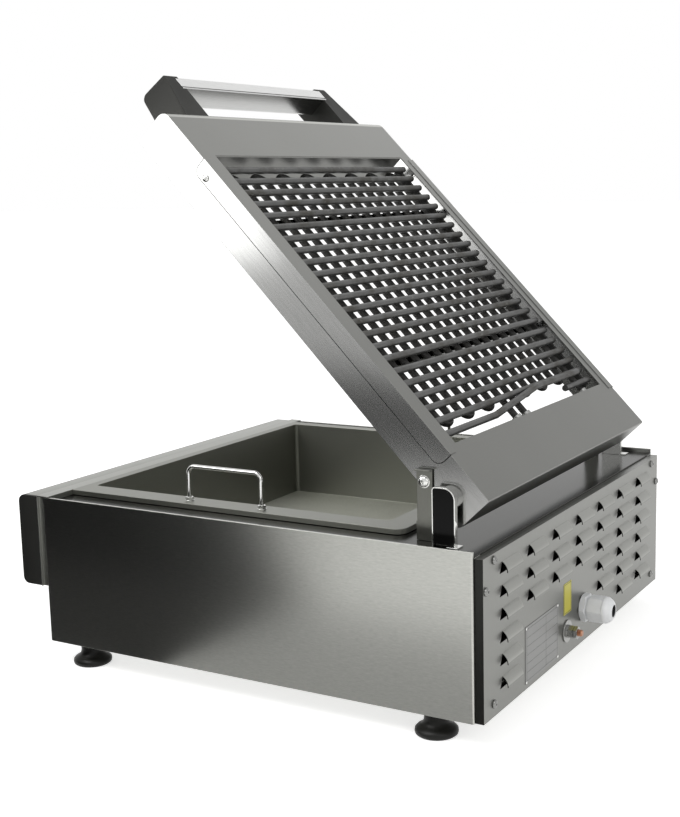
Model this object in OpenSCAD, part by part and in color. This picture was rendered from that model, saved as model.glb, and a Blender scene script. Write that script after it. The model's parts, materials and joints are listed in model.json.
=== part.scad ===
// Countertop electric steam grill: a steel body holds a water pan, and an open frame with
// heating elements and a rod grate tilts up over it on two side pivots.
// Millimetres, +Z up, front towards -Y, floor at z = 0. The lid is drawn standing open.

/* [Body] */
// Width of the steel body over its side panels
body_w = 560; // [500:10:620]
// Depth of the steel body from front to rear flanges
body_d = 560; // [530:10:600]
// Height of the side panels
body_h = 177; // [160:1:210]
// Height of the feet
foot_h = 28; // [20:1:40]
// Thickness of the steel sheet
sheet = 1.5; // [1:0.1:2]
// How far the louvred rear cover stands behind the body
cover_out = 9.3; // [7:0.1:14]
// How far the front fascia stands ahead of the body
fascia_out = 9; // [7:0.5:12]

/* [Control panel] */
// Depth of the black control panel moulding
panel_d = 30; // [26:1:40]
// Height of the black control panel moulding
panel_h = 110; // [100:1:124]
// Radius of its rounded front edges
panel_r = 8.5; // [4:0.5:12]
// Radius of a regulator knob
knob_r = 21; // [17:1:26]
// Height of a regulator knob
knob_h = 20; // [16:1:24]
// Distance of each knob from the nearer side of the body
knob_in = 130; // [90:5:150]
// Distance of each pilot lamp from the middle
lamp_x = 28; // [20:1:60]

/* [Water pan] */
// Distance of the cavity's right wall from the side of the body
pan_margin_right = 72; // [68:1:80]
// Distance of the cavity's left wall from the side of the body
pan_margin_left = 35; // [34:1:45]
// Depth of the pan's cavity below its flange
pan_depth = 103; // [80:1:115]
// Width of the flange on the cavity's right
flange_right = 30; // [26:1:34]
// Width of the flange on the cavity's left
flange_left = 17; // [15:1:20]
// Distance from the front of the body to the cavity's front wall
pan_front = 22; // [21:1:28]
// Distance from the rear of the body to the cavity's rear wall
pan_rear = 130; // [126:1:150]
// How far the flange stands above the side panels
pan_rise = 1.5; // [1:0.5:6]
// Length of each wire handle
grip_len = 100; // [80:5:130]
// Height of each wire handle
grip_h = 43; // [34:1:50]

/* [Lid] */
// Distance of the tilting frame's sides from the sides of the body
lid_margin = 39; // [38:0.5:44]
// How much shorter the tilting frame is than the body
lid_short = 6; // [2:1:10]
// Thickness of the tilting frame
lid_t = 48; // [44:1:54]
// Angle at which the lid stands open
open_angle = 46.1; // [35:0.1:50]
// Length of the closed band at the lid's rear
rear_band = 71; // [66:1:76]
// Length of the closed band at the lid's front
front_band = 70.5; // [64:0.5:76]
// Radius of the bend along the lid's front edge
lid_bend_r = 11; // [6:1:14]
// Height of the pivot above the top deck
pivot_rise = 46; // [42:1:56]
// Distance of the pivot ahead of the body's rear face
pivot_back = 44; // [40:1:50]
// Distance of the pivot from the lid's rear edge
pivot_u = 30; // [26:1:34]
// Distance of the pivot above the lid's lower edge
pivot_up = 14.7; // [14.5:0.1:18]
// Radius of the pivot tube's collar
collar_r = 13; // [12:0.5:14]
// Radius of the pivot tube in its bearing
spigot_r = 9; // [8:0.5:10]

/* [Grate and heating] */
// Diameter of the grate's rods
rod_d = 8; // [6:0.5:9]
// Number of full-width grate rods
rod_count = 22; // [18:1:23]
// Diameter of the heating element's tube
tube_d = 8; // [6.5:0.1:8.5]
// Number of legs of each heating element
leg_count = 8; // [4:2:8]

/* [Lid handle] */
// Distance of each handle bracket's foot from the lid's side
bracket_in = 47; // [30:1:90]
// Thickness of a handle bracket at its tip
bracket_t = 20; // [16:1:28]
// How far the handle stands ahead of the lid
handle_out = 71.5; // [66:0.5:76]

/* [Hidden] */

// Facets of round parts, which carry over as true circles
$fn = 48;
// How far every cut runs past the surface that it opens
over = 1;
// Gap between pieces that move past each other
run_gap = 0.3;
// Radial clearance of a shaft in its bearing
bearing_gap = 0.05;

// Planes of the body
half_w = body_w / 2;
front_y = -body_d / 2;
rear_y = body_d / 2;
base_z = foot_h;
rim_z = base_z + body_h;
// The deck lies this far below the rim
deck_drop = 5;
deck_z = rim_z - deck_drop;
pivot_z = deck_z + pivot_rise;
deck_under = deck_z - sheet;
flange_z = rim_z + pan_rise;
fascia_y = front_y - fascia_out;
cover_y = rear_y + cover_out;
panel_y = fascia_y - panel_d;
knob_tip_y = panel_y - run_gap - knob_h;

// Side panels: outer bend radius, width of the returned edges, hem of the top edge
bend_r = 2.5;
return_w = 18;
hem_w = 3;
hem_h = 12;

// Fascia: rear edge of its top strip, and how far its side flanges stand in
strip_gap = 0.3;
fascia_inset = 4;
window_h = 66;

// Control panel, and the window behind it
knob_x = half_w - knob_in;
window_past = 50;
window_w = 2 * (knob_x + window_past);
panel_wall = 3;
panel_inset = 1;
panel_top = flange_z - sheet;
panel_low = panel_top - panel_h;
knob_z = panel_low + panel_h / 2;
bush_r = 5;
bush_gap = 0.2;
shaft_r = 3;
// Knob: skirt thickness, hub radius as a share of the knob, width of the grip
skirt_t = 5;
hub_share = 0.78;
grip_w = 13;
grip_scoop_r = 30;
pointer_w = 1.6;
pointer_deep = 1;
shaft_in_knob = 14;
// Regulator: housing width, height and depth, and the shaft's length inside it
reg_w = 42;
reg_h = 38;
reg_d = 34;
reg_shaft_in = 12;
tag_w = 6.3;
tag_t = 0.8;
tag_len = 9;
// Pilot lamps: lens radius, bezel radius and thickness, body length
lens_r = 6.3;
bezel_r = 8;
bezel_t = 1.8;
lamp_len = 24;

// Feet
foot_r = 23;
foot_flange_t = 9;
foot_edge_r = 3;
foot_neck_r = 15;
foot_pocket_r = 8;
foot_pocket_h = 12;
foot_hole_r = 3.2;
foot_in_x = 25;
foot_in_front = 43;
foot_in_rear = 54;
bolt_r = 3;
bolt_head_r = 6;
bolt_head_h = 4;
bolt_nut_r = 5.8;
bolt_nut_h = 5;

// Vent slots of the bottom plate, and their place as a share of half the width
slot_share = 3 / 7;
slot_len = 44;
slot_w = 6;
slot_pitch = 16;
slot_rows = 7;
slot_x = half_w * slot_share;
rear_lip_h = 20;
deck_lip_h = 18;

// Rear cover and its louvres
cover_inset = 4;
cover_drop = 7;
louvre_len = 40;
// The slot of a louvre runs past its hood by this much along its lower edge
louvre_lean = 6;
louvre_h = 11.5;
louvre_out = 6.5;
louvre_t = 1.2;
louvre_start = 30;
louvre_top_drop = 20.5;
louvre_low_up = 35.5;
louvre_right_in = 50;
louvre_left_in = 47.6;
louvre_cols = 7;
louvre_rows = 6;
louvre_first_x = half_w - louvre_right_in;
louvre_pitch_x = (body_w - louvre_right_in - louvre_left_in - louvre_len) / (louvre_cols - 1);
louvre_pitch_z = (body_h - louvre_top_drop - louvre_low_up) / (louvre_rows - 1);
// Louvres left out below these counts, where the plate, the label and the gland sit
louvre_rows_share = [1, 0.5, 0.5, 0.5, 0.8, 1, 1];
louvre_steps = 6;

// Pan-head screws
screw_r = 4.7;
screw_h = 3.4;
screw_shank_r = 2.4;
screw_shank = 13;
cross_w = 1.1;
cross_len_share = 1.2;
cross_deep_share = 0.5;
top_screw_in = 30;
top_screw_x = half_w - top_screw_in;
top_screw_drop = 14;
low_screw_in = 28;
low_screw_x = half_w - low_screw_in;
low_screw_up = 14;
edge_screw_in = 10;
edge_screw_drop = 41;

// Terminal block behind the cable gland
block_w = 64;
block_d = 26;
block_h = 24;
block_poles = 5;
block_gap = 18;
pole_r = 3.2;
pole_deep = 9;
rib_t = 1.5;

// Water pan
pan_right = half_w - pan_margin_right;
pan_left = -half_w + pan_margin_left;
pan_corner_r = 5;
flange_corner_r = 12;
lip_h = 6;
pan_sheet = 1.2;
collar_t = 1.2;
collar_gap = 0.6;
pan_strip = 12;
pan_back_flange = 31;
wire_r = 2.5;
wire_bend_r = 9;
grip_mid_y = -54.5;
grip_right_in = 15;
grip_left_in = 8.5;
nut_r = 5.5;
nut_h = 4.5;

// Hinge posts, standing outside the lid
lid_w = body_w - 2 * lid_margin;
lid_half = lid_w / 2;
post_gap = 7;
post_x = lid_half + post_gap;
post_web = 1.5;
post_deep = 6;
post_rim = 1.3;
post_half = 13;
post_rear_r = 12.5;
post_front_r = 4;
sleeve_t = 2;
sleeve_len = 4;
foot_tab_w = 14;
foot_tab_l = 12;
tube_bore_r = 6;
tube_flange_t = 3;

// Spring catches ahead of the posts
catch_gap = 1.6;
catch_t = 1.4;
catch_w = 17.5;
catch_step_w = 19.5;
catch_step_h = 20;
catch_front = 34.5;
catch_top = 29;
catch_tab = 7;
catch_foot = 10;
catch_hole_up = 16;
catch_hole_front = 26;
catch_screw_r = 6.8;
catch_screw_h = 4;
catch_shank_r = 3;

// Lid
lid_len = body_d - lid_short;
lid_rear_r = 6.5;
window_edge = 26;
front_lip = 35;
trim_t = 1;
trim_side = 19;
trim_top = 13.5;
trim_rear_lap = 10;
trim_front_lap = 5.5;
trim_corner_r = 9;
trim_screw_from_front = 92;
trim_screw_up = 35;
trim_screw_r = 4;
trim_screw_h = 2.6;
cover_low = 6.5;

// Heights inside the lid, above its lower edge
tube_up = 29;
rod_up = 40;
// First and last rod and element bends, measured from the window's edges
first_rod_in = 15.5;
last_rod_in = 32;
front_bend_in = 11.5;
rear_bend_in = 26;
cold_end = 26;
element_side_in = 27.4;
leg_pitch = (lid_half - element_side_in) / leg_count;
ferrule_r = 6;
ferrule_len = 13;
ferrule_in = 3;

// Element support: two flat bars with a raised seat for the grate at each end
bar_w = 8;
bar_t = 4;
seat_w = 13;
support_share = [0.29, 0.8];

// Grate
side_bar_t = 5;
side_bar_h = 8.6;
weld = 0.6;
grate_gap = 2;
side_bar_front = 5;
side_bar_rear = 18;
stub_in = 15;
stub_len = 80;
lift_near_share = 0.36;
lift_far_share = 0.22;
lift_end_share = 0.87;
tip_share = 0.8;
// The bends of the lifting rod are this much thicker than the rod
knuckle = 0.15;
lift_rise = 7.05;
lift_back = 4.2;
lift_in = 15;

// Handle brackets and bar, in lengths ahead of the lid and above its lower edge
bracket_x = lid_half - bracket_in;
bracket_low = 1.5;
bracket_top = 44;
bracket_fall = 1.5;
bracket_tip_share = 0.9;
bracket_edge_r = 3.5;
bracket_toe_r = 7;
bracket_slant = 21.5;
bracket_heel = 9;
bar_back = 28.5;
bar_deep = 19.5;
bar_low = 14;
bar_r = 4;
bar_rear_r = 1;
bar_groove_w = 1.5;
bar_groove_deep = 1.5;
bar_groove_in = 1.8;
bar_seat = 6;

// Cable gland, earth stud, plate and label on the rear cover, placed by shares of half its width
stud_share = 0.184;
plate_share = 0.4464;
label_share = 0.1768;
gland_x = 0;
gland_up = 42;
gland_len = 38;
gland_thread_r = 12.4;
gland_hex_r = 17.5;
gland_hex_t = 7.5;
gland_neck_r = 12;
gland_neck_t = 2;
gland_cap_r = 15.2;
gland_dome_r = 6;
gland_mouth_r = 9;
gland_seal_r = 11;
gland_bore_r = 6.5;
gland_lip = 2.5;
gland_nut_t = 5;
gland_inside = 8;
rib_count = 12;
rib_r = 1;
stud_x = half_w * stud_share;
stud_up = 28.5;
stud_r = 4;
stud_root_r = 4.2;
stud_len = 19;
stud_inside = 8;
washer_r = 13;
washer_t = 1.6;
earth_nut_r = 7.5;
earth_nut_t = 6.5;
plate_x = half_w * plate_share;
plate_w = 93;
plate_h = 63;
plate_up = 6;
plate_t = 0.5;
label_x = half_w * label_share;
label_w = 23;
label_h = 36;
label_up = 49;
label_t = 0.3;

// The frame's origin lies under the middle of the whole machine
gland_tip_y = cover_y + gland_len;
centre_y = -(knob_tip_y + gland_tip_y) / 2;

// Colours
steel = [0.72, 0.73, 0.72];
pale_steel = [0.66, 0.67, 0.65];
dark_steel = [0.40, 0.40, 0.38];
black = [0.10, 0.10, 0.10];
bright = [0.82, 0.82, 0.83];

// Direction of a vector
function unit(v) = v / norm(v);

// Points of the arc that rounds corner b between a and c
function corner_arc(a, b, c, r, n) =
    let (
        u = unit(a - b),
        v = unit(c - b),
        half = acos(u * v) / 2,
        centre = b + unit(u + v) * r / sin(half),
        p = b + u * r / tan(half) - centre,
        q = b + v * r / tan(half) - centre,
        a0 = atan2(p[1], p[0]),
        turn = (atan2(q[1], q[0]) - a0 + 540) % 360 - 180
    )
    r <= 0 ? [b] : [for (i = [0:n]) centre + r * [cos(a0 + turn * i / n), sin(a0 + turn * i / n)]];

// An outline with its corners rounded, one radius per corner
function round_poly(pts, radii, n = 6) = [
    for (i = [0:len(pts) - 1])
        each corner_arc(pts[(i + len(pts) - 1) % len(pts)], pts[i], pts[(i + 1) % len(pts)], radii[i], n)
];

function rect_points(x0, x1, y0, y1) = [[x0, y0], [x1, y0], [x1, y1], [x0, y1]];

// A box between two corners
module block(x0, x1, y0, y1, z0, z1) {
    translate([x0, y0, z0])
        cube([x1 - x0, y1 - y0, z1 - z0]);
}

// Extrudes a (y, z) outline along X
module along_x(x0, x1) {
    translate([x0, 0, 0])
        rotate([90, 0, 90])
            linear_extrude(x1 - x0)
                children();
}

// Extrudes an (x, z) outline along Y
module along_y(y0, y1) {
    translate([0, y1, 0])
        rotate([90, 0, 0])
            linear_extrude(y1 - y0)
                children();
}

module along_z(z0, z1) {
    translate([0, 0, z0])
        linear_extrude(z1 - z0)
            children();
}

// A cylinder between x0 and x1 on the axis through (y, z)
module rod_x(x0, x1, y, z, r) {
    translate([x0, y, z])
        rotate([0, 90, 0])
            cylinder(h = x1 - x0, r = r);
}

// A cylinder between y0 and y1 on the axis through (x, z)
module rod_y(y0, y1, x, z, r) {
    translate([x, y1, z])
        rotate([90, 0, 0])
            cylinder(h = y1 - y0, r = r);
}

// Turns a profile of (radius, height) about an axis that points to -Y from y
module turned_front(y, x, z) {
    translate([x, y, z])
        rotate([90, 0, 0])
            rotate_extrude()
                children();
}

// The same, pointing to +Y
module turned_rear(y, x, z) {
    translate([x, y, z])
        rotate([-90, 0, 0])
            rotate_extrude()
                children();
}

// Moves the body so that the whole machine is centred on the origin
module placed() {
    translate([0, centre_y, 0])
        children();
}

// Mirrors a part of the right side to the left
module on_side(side) {
    if (side > 0)
        children();
    else
        mirror([1, 0, 0])
            children();
}

// Places what is drawn in lid lengths: x across, y from the rear edge forward, z above the lower edge
module on_lid() {
    placed()
        translate([0, rear_y - pivot_back, pivot_z])
            rotate([-open_angle, 0, 0])
                mirror([0, 1, 0])
                    translate([0, -pivot_u, -pivot_up])
                        children();
}

// Pan head with a cross recess, its seat at the origin and its axis along +Z
module pan_head(r, h) {
    difference() {
        intersection() {
            cylinder(h = h, r = r);
            translate([0, 0, h - pan_ball(r, h)])
                sphere(r = pan_ball(r, h));
        }
        for (a = [0, 90])
            rotate([0, 0, a])
                translate([-r * cross_len_share / 2, -cross_w / 2, h * (1 - cross_deep_share)])
                    cube([r * cross_len_share, cross_w, h]);
    }
}

// Radius of the ball that rounds a pan head down to its rim
function pan_ball(r, h) = (r * r + h * h) / (2 * h);

// Pan-head screw that points into the part along -Z
module pan_screw(r, h, shank_r, shank) {
    pan_head(r, h);
    translate([0, 0, -shank])
        cylinder(h = shank, r = shank_r);
}

// Body

// Plan of a side panel from x0 out, drawn in by a margin
module side_plan(x0, margin) {
    r = bend_r - margin;
    polygon(round_poly(rect_points(x0, half_w - margin, front_y + margin, rear_y - margin), [0, r, r, 0]));
}

module side_panel(side) {
    color(steel)
        placed()
            on_side(side)
                difference() {
                    union() {
                        along_z(base_z, deck_under)
                            difference() {
                                side_plan(half_w - return_w, 0);
                                side_plan(half_w - return_w - over, sheet);
                            }
                        along_z(rim_z - hem_h, rim_z)
                            side_plan(half_w - hem_w, 0);
                        block(half_w - return_w, half_w - sheet, front_y + sheet, rear_y - sheet,
                              base_z, base_z + sheet);
                    }
                    rod_y(rear_y - sheet - over, rear_y + over,
                          half_w - edge_screw_in, rim_z - edge_screw_drop, screw_shank_r);
                }
}

module side_panel_right() {
    side_panel(1);
}

module side_panel_left() {
    side_panel(-1);
}

// Inner faces of the side panels' plates and hems
inner_w = half_w - sheet;
hem_in = half_w - hem_w;

module front_panel() {
    color(steel)
        placed()
            difference() {
                block(-hem_in, hem_in, front_y + sheet, front_y + 2 * sheet, base_z + sheet, deck_under);
                block(-window_w / 2, window_w / 2, front_y, front_y + 2 * sheet + over,
                      knob_z - window_h / 2, knob_z + window_h / 2);
            }
}

module vent_slot() {
    along_z(base_z, base_z + 2 * sheet + over) {
        square([slot_len - slot_w, slot_w], center = true);
        for (s = [-1, 1])
            translate([s * (slot_len - slot_w) / 2, 0])
                circle(d = slot_w);
    }
}

module bottom_plate() {
    plate_z = base_z + sheet;
    color(steel)
        placed()
            difference() {
                union() {
                    block(-inner_w, inner_w, front_y + 2 * sheet, rear_y - sheet, plate_z, plate_z + sheet);
                    block(-half_w + return_w, half_w - return_w, rear_y - sheet, rear_y,
                          plate_z, plate_z + rear_lip_h);
                }
                for (s = [-1, 1], i = [0:slot_rows - 1])
                    translate([s * slot_x, (i - (slot_rows - 1) / 2) * slot_pitch, 0])
                        vent_slot();
                foot_places()
                    translate([0, 0, base_z])
                        cylinder(h = 2 * sheet + over, r = foot_hole_r);
                for (s = [-1, 1])
                    rod_y(rear_y - sheet - over, rear_y + over,
                          s * low_screw_x, base_z + low_screw_up, screw_shank_r);
            }
}

// Front and rear walls of the pan's cavity
pan_fore = front_y + pan_front;
pan_aft = rear_y - pan_rear;

// Outline of the pan's cavity, grown by a margin
module cavity_plan(margin) {
    polygon(round_poly(
        rect_points(pan_left - margin, pan_right + margin, pan_fore - margin, pan_aft + margin),
        [for (i = [0:3]) pan_corner_r + margin]));
}

module top_deck() {
    hole = pan_sheet + collar_gap;
    color(dark_steel)
        placed()
            difference() {
                union() {
                    block(-hem_in, hem_in, front_y + sheet, rear_y, deck_under, deck_z);
                    along_z(deck_under, flange_z - pan_sheet)
                        cavity_plan(hole + collar_t);
                    block(-half_w + return_w, half_w - return_w, rear_y - sheet, rear_y,
                          deck_under - deck_lip_h, deck_under);
                }
                along_z(deck_under - over, flange_z + over)
                    cavity_plan(hole);
                for (s = [-1, 1])
                    rod_y(rear_y - sheet - over, rear_y + over,
                          s * top_screw_x, rim_z - top_screw_drop, screw_shank_r);
            }
}

// Front edge of the pan's flange, where the fascia's top strip ends
strip_end_y = front_y + pan_front - pan_strip;

module front_fascia() {
    side_x = half_w - fascia_inset;
    color(pale_steel)
        placed()
            difference() {
                union() {
                    along_x(-half_w, half_w)
                        difference() {
                            polygon(round_poly(
                                rect_points(fascia_y, strip_end_y - strip_gap, panel_low, flange_z),
                                [0, 0, 0, bend_r]));
                            polygon(round_poly(
                                rect_points(fascia_y + sheet, strip_end_y - strip_gap - sheet,
                                            panel_low - over, flange_z - sheet),
                                [0, 0, 0, bend_r - sheet]));
                            polygon(rect_points(fascia_y + sheet, strip_end_y, panel_low - over, deck_z));
                        }
                    for (s = [-1, 1])
                        block(s * side_x - sheet / 2, s * side_x + sheet / 2, fascia_y + sheet, front_y,
                              panel_low, flange_z - sheet);
                }
                block(-window_w / 2, window_w / 2, fascia_y - over, fascia_y + sheet + over,
                      knob_z - window_h / 2, knob_z + window_h / 2);
                // Room for the side panels' rims beside the rear leg
                for (s = [-1, 1])
                    on_side(s)
                        block(hem_in - strip_gap, half_w + over, front_y, strip_end_y,
                              panel_low - over, rim_z);
            }
}

// Louvre tongue: a curved strip, attached at its top and standing out at its foot
function louvre_curve(inset) = [
    for (i = [0:louvre_steps])
        let (a = louvre_start + (90 - louvre_start) * i / louvre_steps)
        [
            cover_y - inset + louvre_out * (sin(a) - sin(louvre_start)) / (1 - sin(louvre_start)),
            -louvre_h * (1 - cos(a) / cos(louvre_start))
        ]
];

module louvre_profile() {
    outer = louvre_curve(0);
    inner = louvre_curve(louvre_t);
    polygon(concat(outer, [for (i = [louvre_steps:-1:0]) inner[i]]));
}

// Slot behind a louvre's hood, its ends leaning outward towards the lower edge
module louvre_slot() {
    translate([0, cover_y + over, 0])
        rotate([90, 0, 0])
            linear_extrude(height = sheet + 2 * over)
                polygon([[-louvre_len, 0], [0, 0], [louvre_lean, -louvre_h],
                         [-louvre_len - louvre_lean, -louvre_h]]);
}

// Places its children at the upper edge of every louvre
module louvre_places() {
    for (c = [0:louvre_cols - 1], r = [0:round(louvre_rows * louvre_rows_share[c]) - 1])
        translate([louvre_first_x - c * louvre_pitch_x, 0, rim_z - louvre_top_drop - r * louvre_pitch_z])
            children();
}

// Places its children, drawn with +Z outward, at every screw of the rear cover
module cover_screw_places() {
    spots = [
        [top_screw_x, rim_z - top_screw_drop],
        [low_screw_x, base_z + low_screw_up],
        [half_w - edge_screw_in, rim_z - edge_screw_drop]
    ];
    for (s = [-1, 1], p = spots)
        translate([s * p[0], cover_y, p[1]])
            rotate([-90, 0, 0])
                children();
}

module rear_cover() {
    cover_w = half_w - cover_inset;
    cover_top = rim_z - cover_drop;
    color(pale_steel)
        placed()
            difference() {
                union() {
                    difference() {
                        block(-cover_w, cover_w, rear_y, cover_y, base_z, cover_top);
                        block(-cover_w + sheet, cover_w - sheet, rear_y - over, cover_y - sheet,
                              base_z + sheet, cover_top - sheet);
                        louvre_places()
                            louvre_slot();
                    }
                    louvre_places()
                        along_x(-louvre_len, 0)
                            louvre_profile();
                }
                cover_screw_places()
                    translate([0, 0, -sheet - over])
                        cylinder(h = sheet + 2 * over, r = screw_shank_r);
                rod_y(cover_y - sheet - over, cover_y + over, gland_x, base_z + gland_up, gland_thread_r);
                rod_y(cover_y - sheet - over, cover_y + over, stud_x, base_z + stud_up, stud_root_r);
            }
}

module rear_cover_screws() {
    color(bright)
        placed()
            cover_screw_places()
                pan_screw(screw_r, screw_h, screw_shank_r, screw_shank);
}

module foot_places() {
    for (s = [-1, 1]) {
        translate([s * (half_w - foot_in_x), front_y + foot_in_front, 0])
            children();
        translate([s * (half_w - foot_in_x), rear_y - foot_in_rear, 0])
            children();
    }
}

module foot(side, y) {
    color(black)
        placed()
            translate([side * (half_w - foot_in_x), y, 0])
                rotate_extrude()
                    polygon(round_poly([
                        [foot_pocket_r, 0],
                        [foot_r, 0],
                        [foot_r, foot_flange_t],
                        [foot_neck_r, foot_flange_t + foot_edge_r],
                        [foot_neck_r, foot_h],
                        [foot_hole_r, foot_h],
                        [foot_hole_r, foot_pocket_h],
                        [foot_pocket_r, foot_pocket_h]
                    ], [0, foot_edge_r, foot_edge_r, foot_edge_r, 0, 0, 0, 0]));
}

module foot_front_right() {
    foot(1, front_y + foot_in_front);
}

module foot_front_left() {
    foot(-1, front_y + foot_in_front);
}

module foot_rear_right() {
    foot(1, rear_y - foot_in_rear);
}

module foot_rear_left() {
    foot(-1, rear_y - foot_in_rear);
}

module foot_bolts() {
    top = base_z + 2 * sheet;
    color(bright)
        placed()
            foot_places() {
                translate([0, 0, foot_pocket_h - bolt_head_h])
                    cylinder(h = bolt_head_h, r = bolt_head_r);
                translate([0, 0, foot_pocket_h])
                    cylinder(h = top + bolt_nut_h + over - foot_pocket_h, r = bolt_r);
                translate([0, 0, top])
                    cylinder(h = bolt_nut_h, r = bolt_nut_r, $fn = 6);
            }
}

module terminal_block() {
    x0 = gland_x - block_w / 2;
    y0 = rear_y - block_gap - block_d;
    z0 = base_z + 2 * sheet;
    step = block_w / block_poles;
    color(bright)
        placed()
            difference() {
                block(x0, x0 + block_w, y0, y0 + block_d, z0, z0 + block_h);
                for (i = [0:block_poles - 1]) {
                    translate([x0 + (i + 0.5) * step, y0 + block_d / 2, z0 + block_h - pole_deep])
                        cylinder(h = pole_deep + over, r = pole_r);
                    rod_y(y0 + block_d - pole_deep, y0 + block_d + over,
                          x0 + (i + 0.5) * step, z0 + block_h / 2, pole_r);
                }
                for (i = [1:block_poles - 1])
                    block(x0 + i * step - rib_t / 2, x0 + i * step + rib_t / 2,
                          y0 - over, y0 + block_d + over, z0 + block_h - rib_t, z0 + block_h + over);
            }
}

// Control panel

// Side view of the moulding, drawn in by a margin and open towards the fascia
module panel_profile(margin) {
    r = panel_r - margin;
    rear = margin > 0 ? fascia_y + over : fascia_y;
    polygon(round_poly(
        rect_points(panel_y + margin, rear, panel_low + margin, panel_top - margin), [r, 0, 0, r]));
}

module control_panel() {
    x = half_w - panel_inset;
    color(black)
        placed()
            difference() {
                along_x(-x, x)
                    panel_profile(0);
                along_x(-x + panel_wall, x - panel_wall)
                    panel_profile(panel_wall);
                for (s = [-1, 1]) {
                    rod_y(panel_y - over, panel_y + panel_wall + over, s * knob_x, knob_z, bush_r + bush_gap);
                    rod_y(panel_y - over, panel_y + panel_wall + over, s * lamp_x, knob_z, lens_r + bush_gap);
                }
            }
}

module knob(side) {
    hub_r = knob_r * hub_share;
    color(black)
        placed()
            translate([side * knob_x, panel_y - run_gap, knob_z])
                rotate([90, 0, 0])
                    difference() {
                        union() {
                            rotate_extrude()
                                polygon(round_poly([
                                    [0, 0],
                                    [knob_r, 0],
                                    [knob_r, skirt_t],
                                    [hub_r, skirt_t + over],
                                    [0, skirt_t + over]
                                ], [0, 0, over, 0, 0]));
                            intersection() {
                                cylinder(h = knob_h, r = hub_r);
                                translate([-grip_w / 2, -knob_r, 0])
                                    cube([grip_w, 2 * knob_r, knob_h]);
                            }
                        }
                        translate([0, 0, -over])
                            cylinder(h = shaft_in_knob + over, r = shaft_r);
                        translate([-pointer_w / 2, hub_r / 2, knob_h - pointer_deep])
                            cube([pointer_w, knob_r, pointer_deep + over]);
                    }
}

module knob_right() {
    knob(1);
}

module knob_left() {
    knob(-1);
}

module regulator(side) {
    y0 = panel_y + panel_wall;
    color(pale_steel)
        placed()
            translate([side * knob_x, 0, 0])
                difference() {
                    union() {
                        block(-reg_w / 2, reg_w / 2, y0, y0 + reg_d, knob_z - reg_h / 2, knob_z + reg_h / 2);
                        rod_y(panel_y, y0 + over, 0, knob_z, bush_r);
                        for (sx = [-1, 1], sz = [-1, 1])
                            translate([sx * reg_w / 4, y0 + reg_d, knob_z + sz * reg_h / 4])
                                block(-tag_w / 2, tag_w / 2, 0, tag_len, -tag_t / 2, tag_t / 2);
                    }
                    rod_y(panel_y - over, y0 + reg_shaft_in + run_gap, 0, knob_z, shaft_r + bearing_gap);
                }
}

module regulator_right() {
    regulator(1);
}

module regulator_left() {
    regulator(-1);
}

module regulator_shaft(side) {
    color(bright)
        placed()
            rod_y(panel_y - run_gap - shaft_in_knob, panel_y + panel_wall + reg_shaft_in,
                  side * knob_x, knob_z, shaft_r);
}

module regulator_shaft_right() {
    regulator_shaft(1);
}

module regulator_shaft_left() {
    regulator_shaft(-1);
}

module pilot_lamp(side, tint) {
    color(tint)
        placed()
            turned_front(panel_y + panel_wall + lamp_len, side * lamp_x, knob_z)
                polygon(round_poly([
                    [0, 0],
                    [lens_r, 0],
                    [lens_r, lamp_len + panel_wall],
                    [bezel_r, lamp_len + panel_wall],
                    [bezel_r, lamp_len + panel_wall + bezel_t],
                    [lens_r, lamp_len + panel_wall + bezel_t],
                    [lens_r, lamp_len + panel_wall + 3 * bezel_t],
                    [0, lamp_len + panel_wall + 3 * bezel_t]
                ], [0, 0, 0, 0, bezel_t / 2, 0, 2 * bezel_t - over, 0]));
}

module pilot_lamp_green() {
    pilot_lamp(1, [0.2, 0.7, 0.25]);
}

module pilot_lamp_amber() {
    pilot_lamp(-1, [0.95, 0.55, 0.1]);
}

// Water pan

// Centres of the handles' wires
grip_x = [pan_left - flange_left + grip_left_in, pan_right + flange_right - grip_right_in];

// Places its children at the four feet of the handles
module grip_feet() {
    for (x = grip_x, p = [-1, 1])
        translate([x, grip_mid_y + p * grip_len / 2, 0])
            children();
}

// Outline of the pan's flange, drawn in by a margin
module flange_plan(margin) {
    r = flange_corner_r - margin;
    polygon(round_poly(
        rect_points(pan_left - flange_left + margin, pan_right + flange_right - margin,
                    strip_end_y + margin, pan_aft + pan_back_flange - margin),
        [bend_r - margin, bend_r - margin, r, r]));
}

module water_pan() {
    color(pale_steel)
        placed()
            difference() {
                union() {
                    along_z(flange_z - lip_h, flange_z)
                        flange_plan(0);
                    along_z(flange_z - pan_depth - pan_sheet, flange_z)
                        cavity_plan(pan_sheet);
                }
                difference() {
                    along_z(flange_z - lip_h - over, flange_z - pan_sheet)
                        flange_plan(pan_sheet);
                    along_z(flange_z - pan_depth - pan_sheet, flange_z)
                        cavity_plan(pan_sheet);
                }
                along_z(flange_z - pan_depth, flange_z + over)
                    cavity_plan(0);
                grip_feet()
                    translate([0, 0, flange_z - pan_sheet - over])
                        cylinder(h = pan_sheet + 2 * over, r = wire_r);
            }
}

// Wire handle: two legs, two bends and a grip, with a threaded end under the flange
module pan_handle(x) {
    top = flange_z + grip_h - wire_r;
    low = flange_z - pan_sheet;
    color(bright)
        placed()
            translate([x, grip_mid_y, 0]) {
                for (p = [-1, 1]) {
                    translate([0, p * grip_len / 2, low])
                        cylinder(h = top - wire_bend_r - low, r = wire_r);
                    translate([0, p * (grip_len / 2 - wire_bend_r), top - wire_bend_r])
                        rotate([0, 0, p * 90])
                            rotate([90, 0, 0])
                                rotate_extrude(angle = 90)
                                    translate([wire_bend_r, 0])
                                        circle(r = wire_r);
                }
                rod_y(wire_bend_r - grip_len / 2, grip_len / 2 - wire_bend_r, 0, top, wire_r);
            }
}

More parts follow.
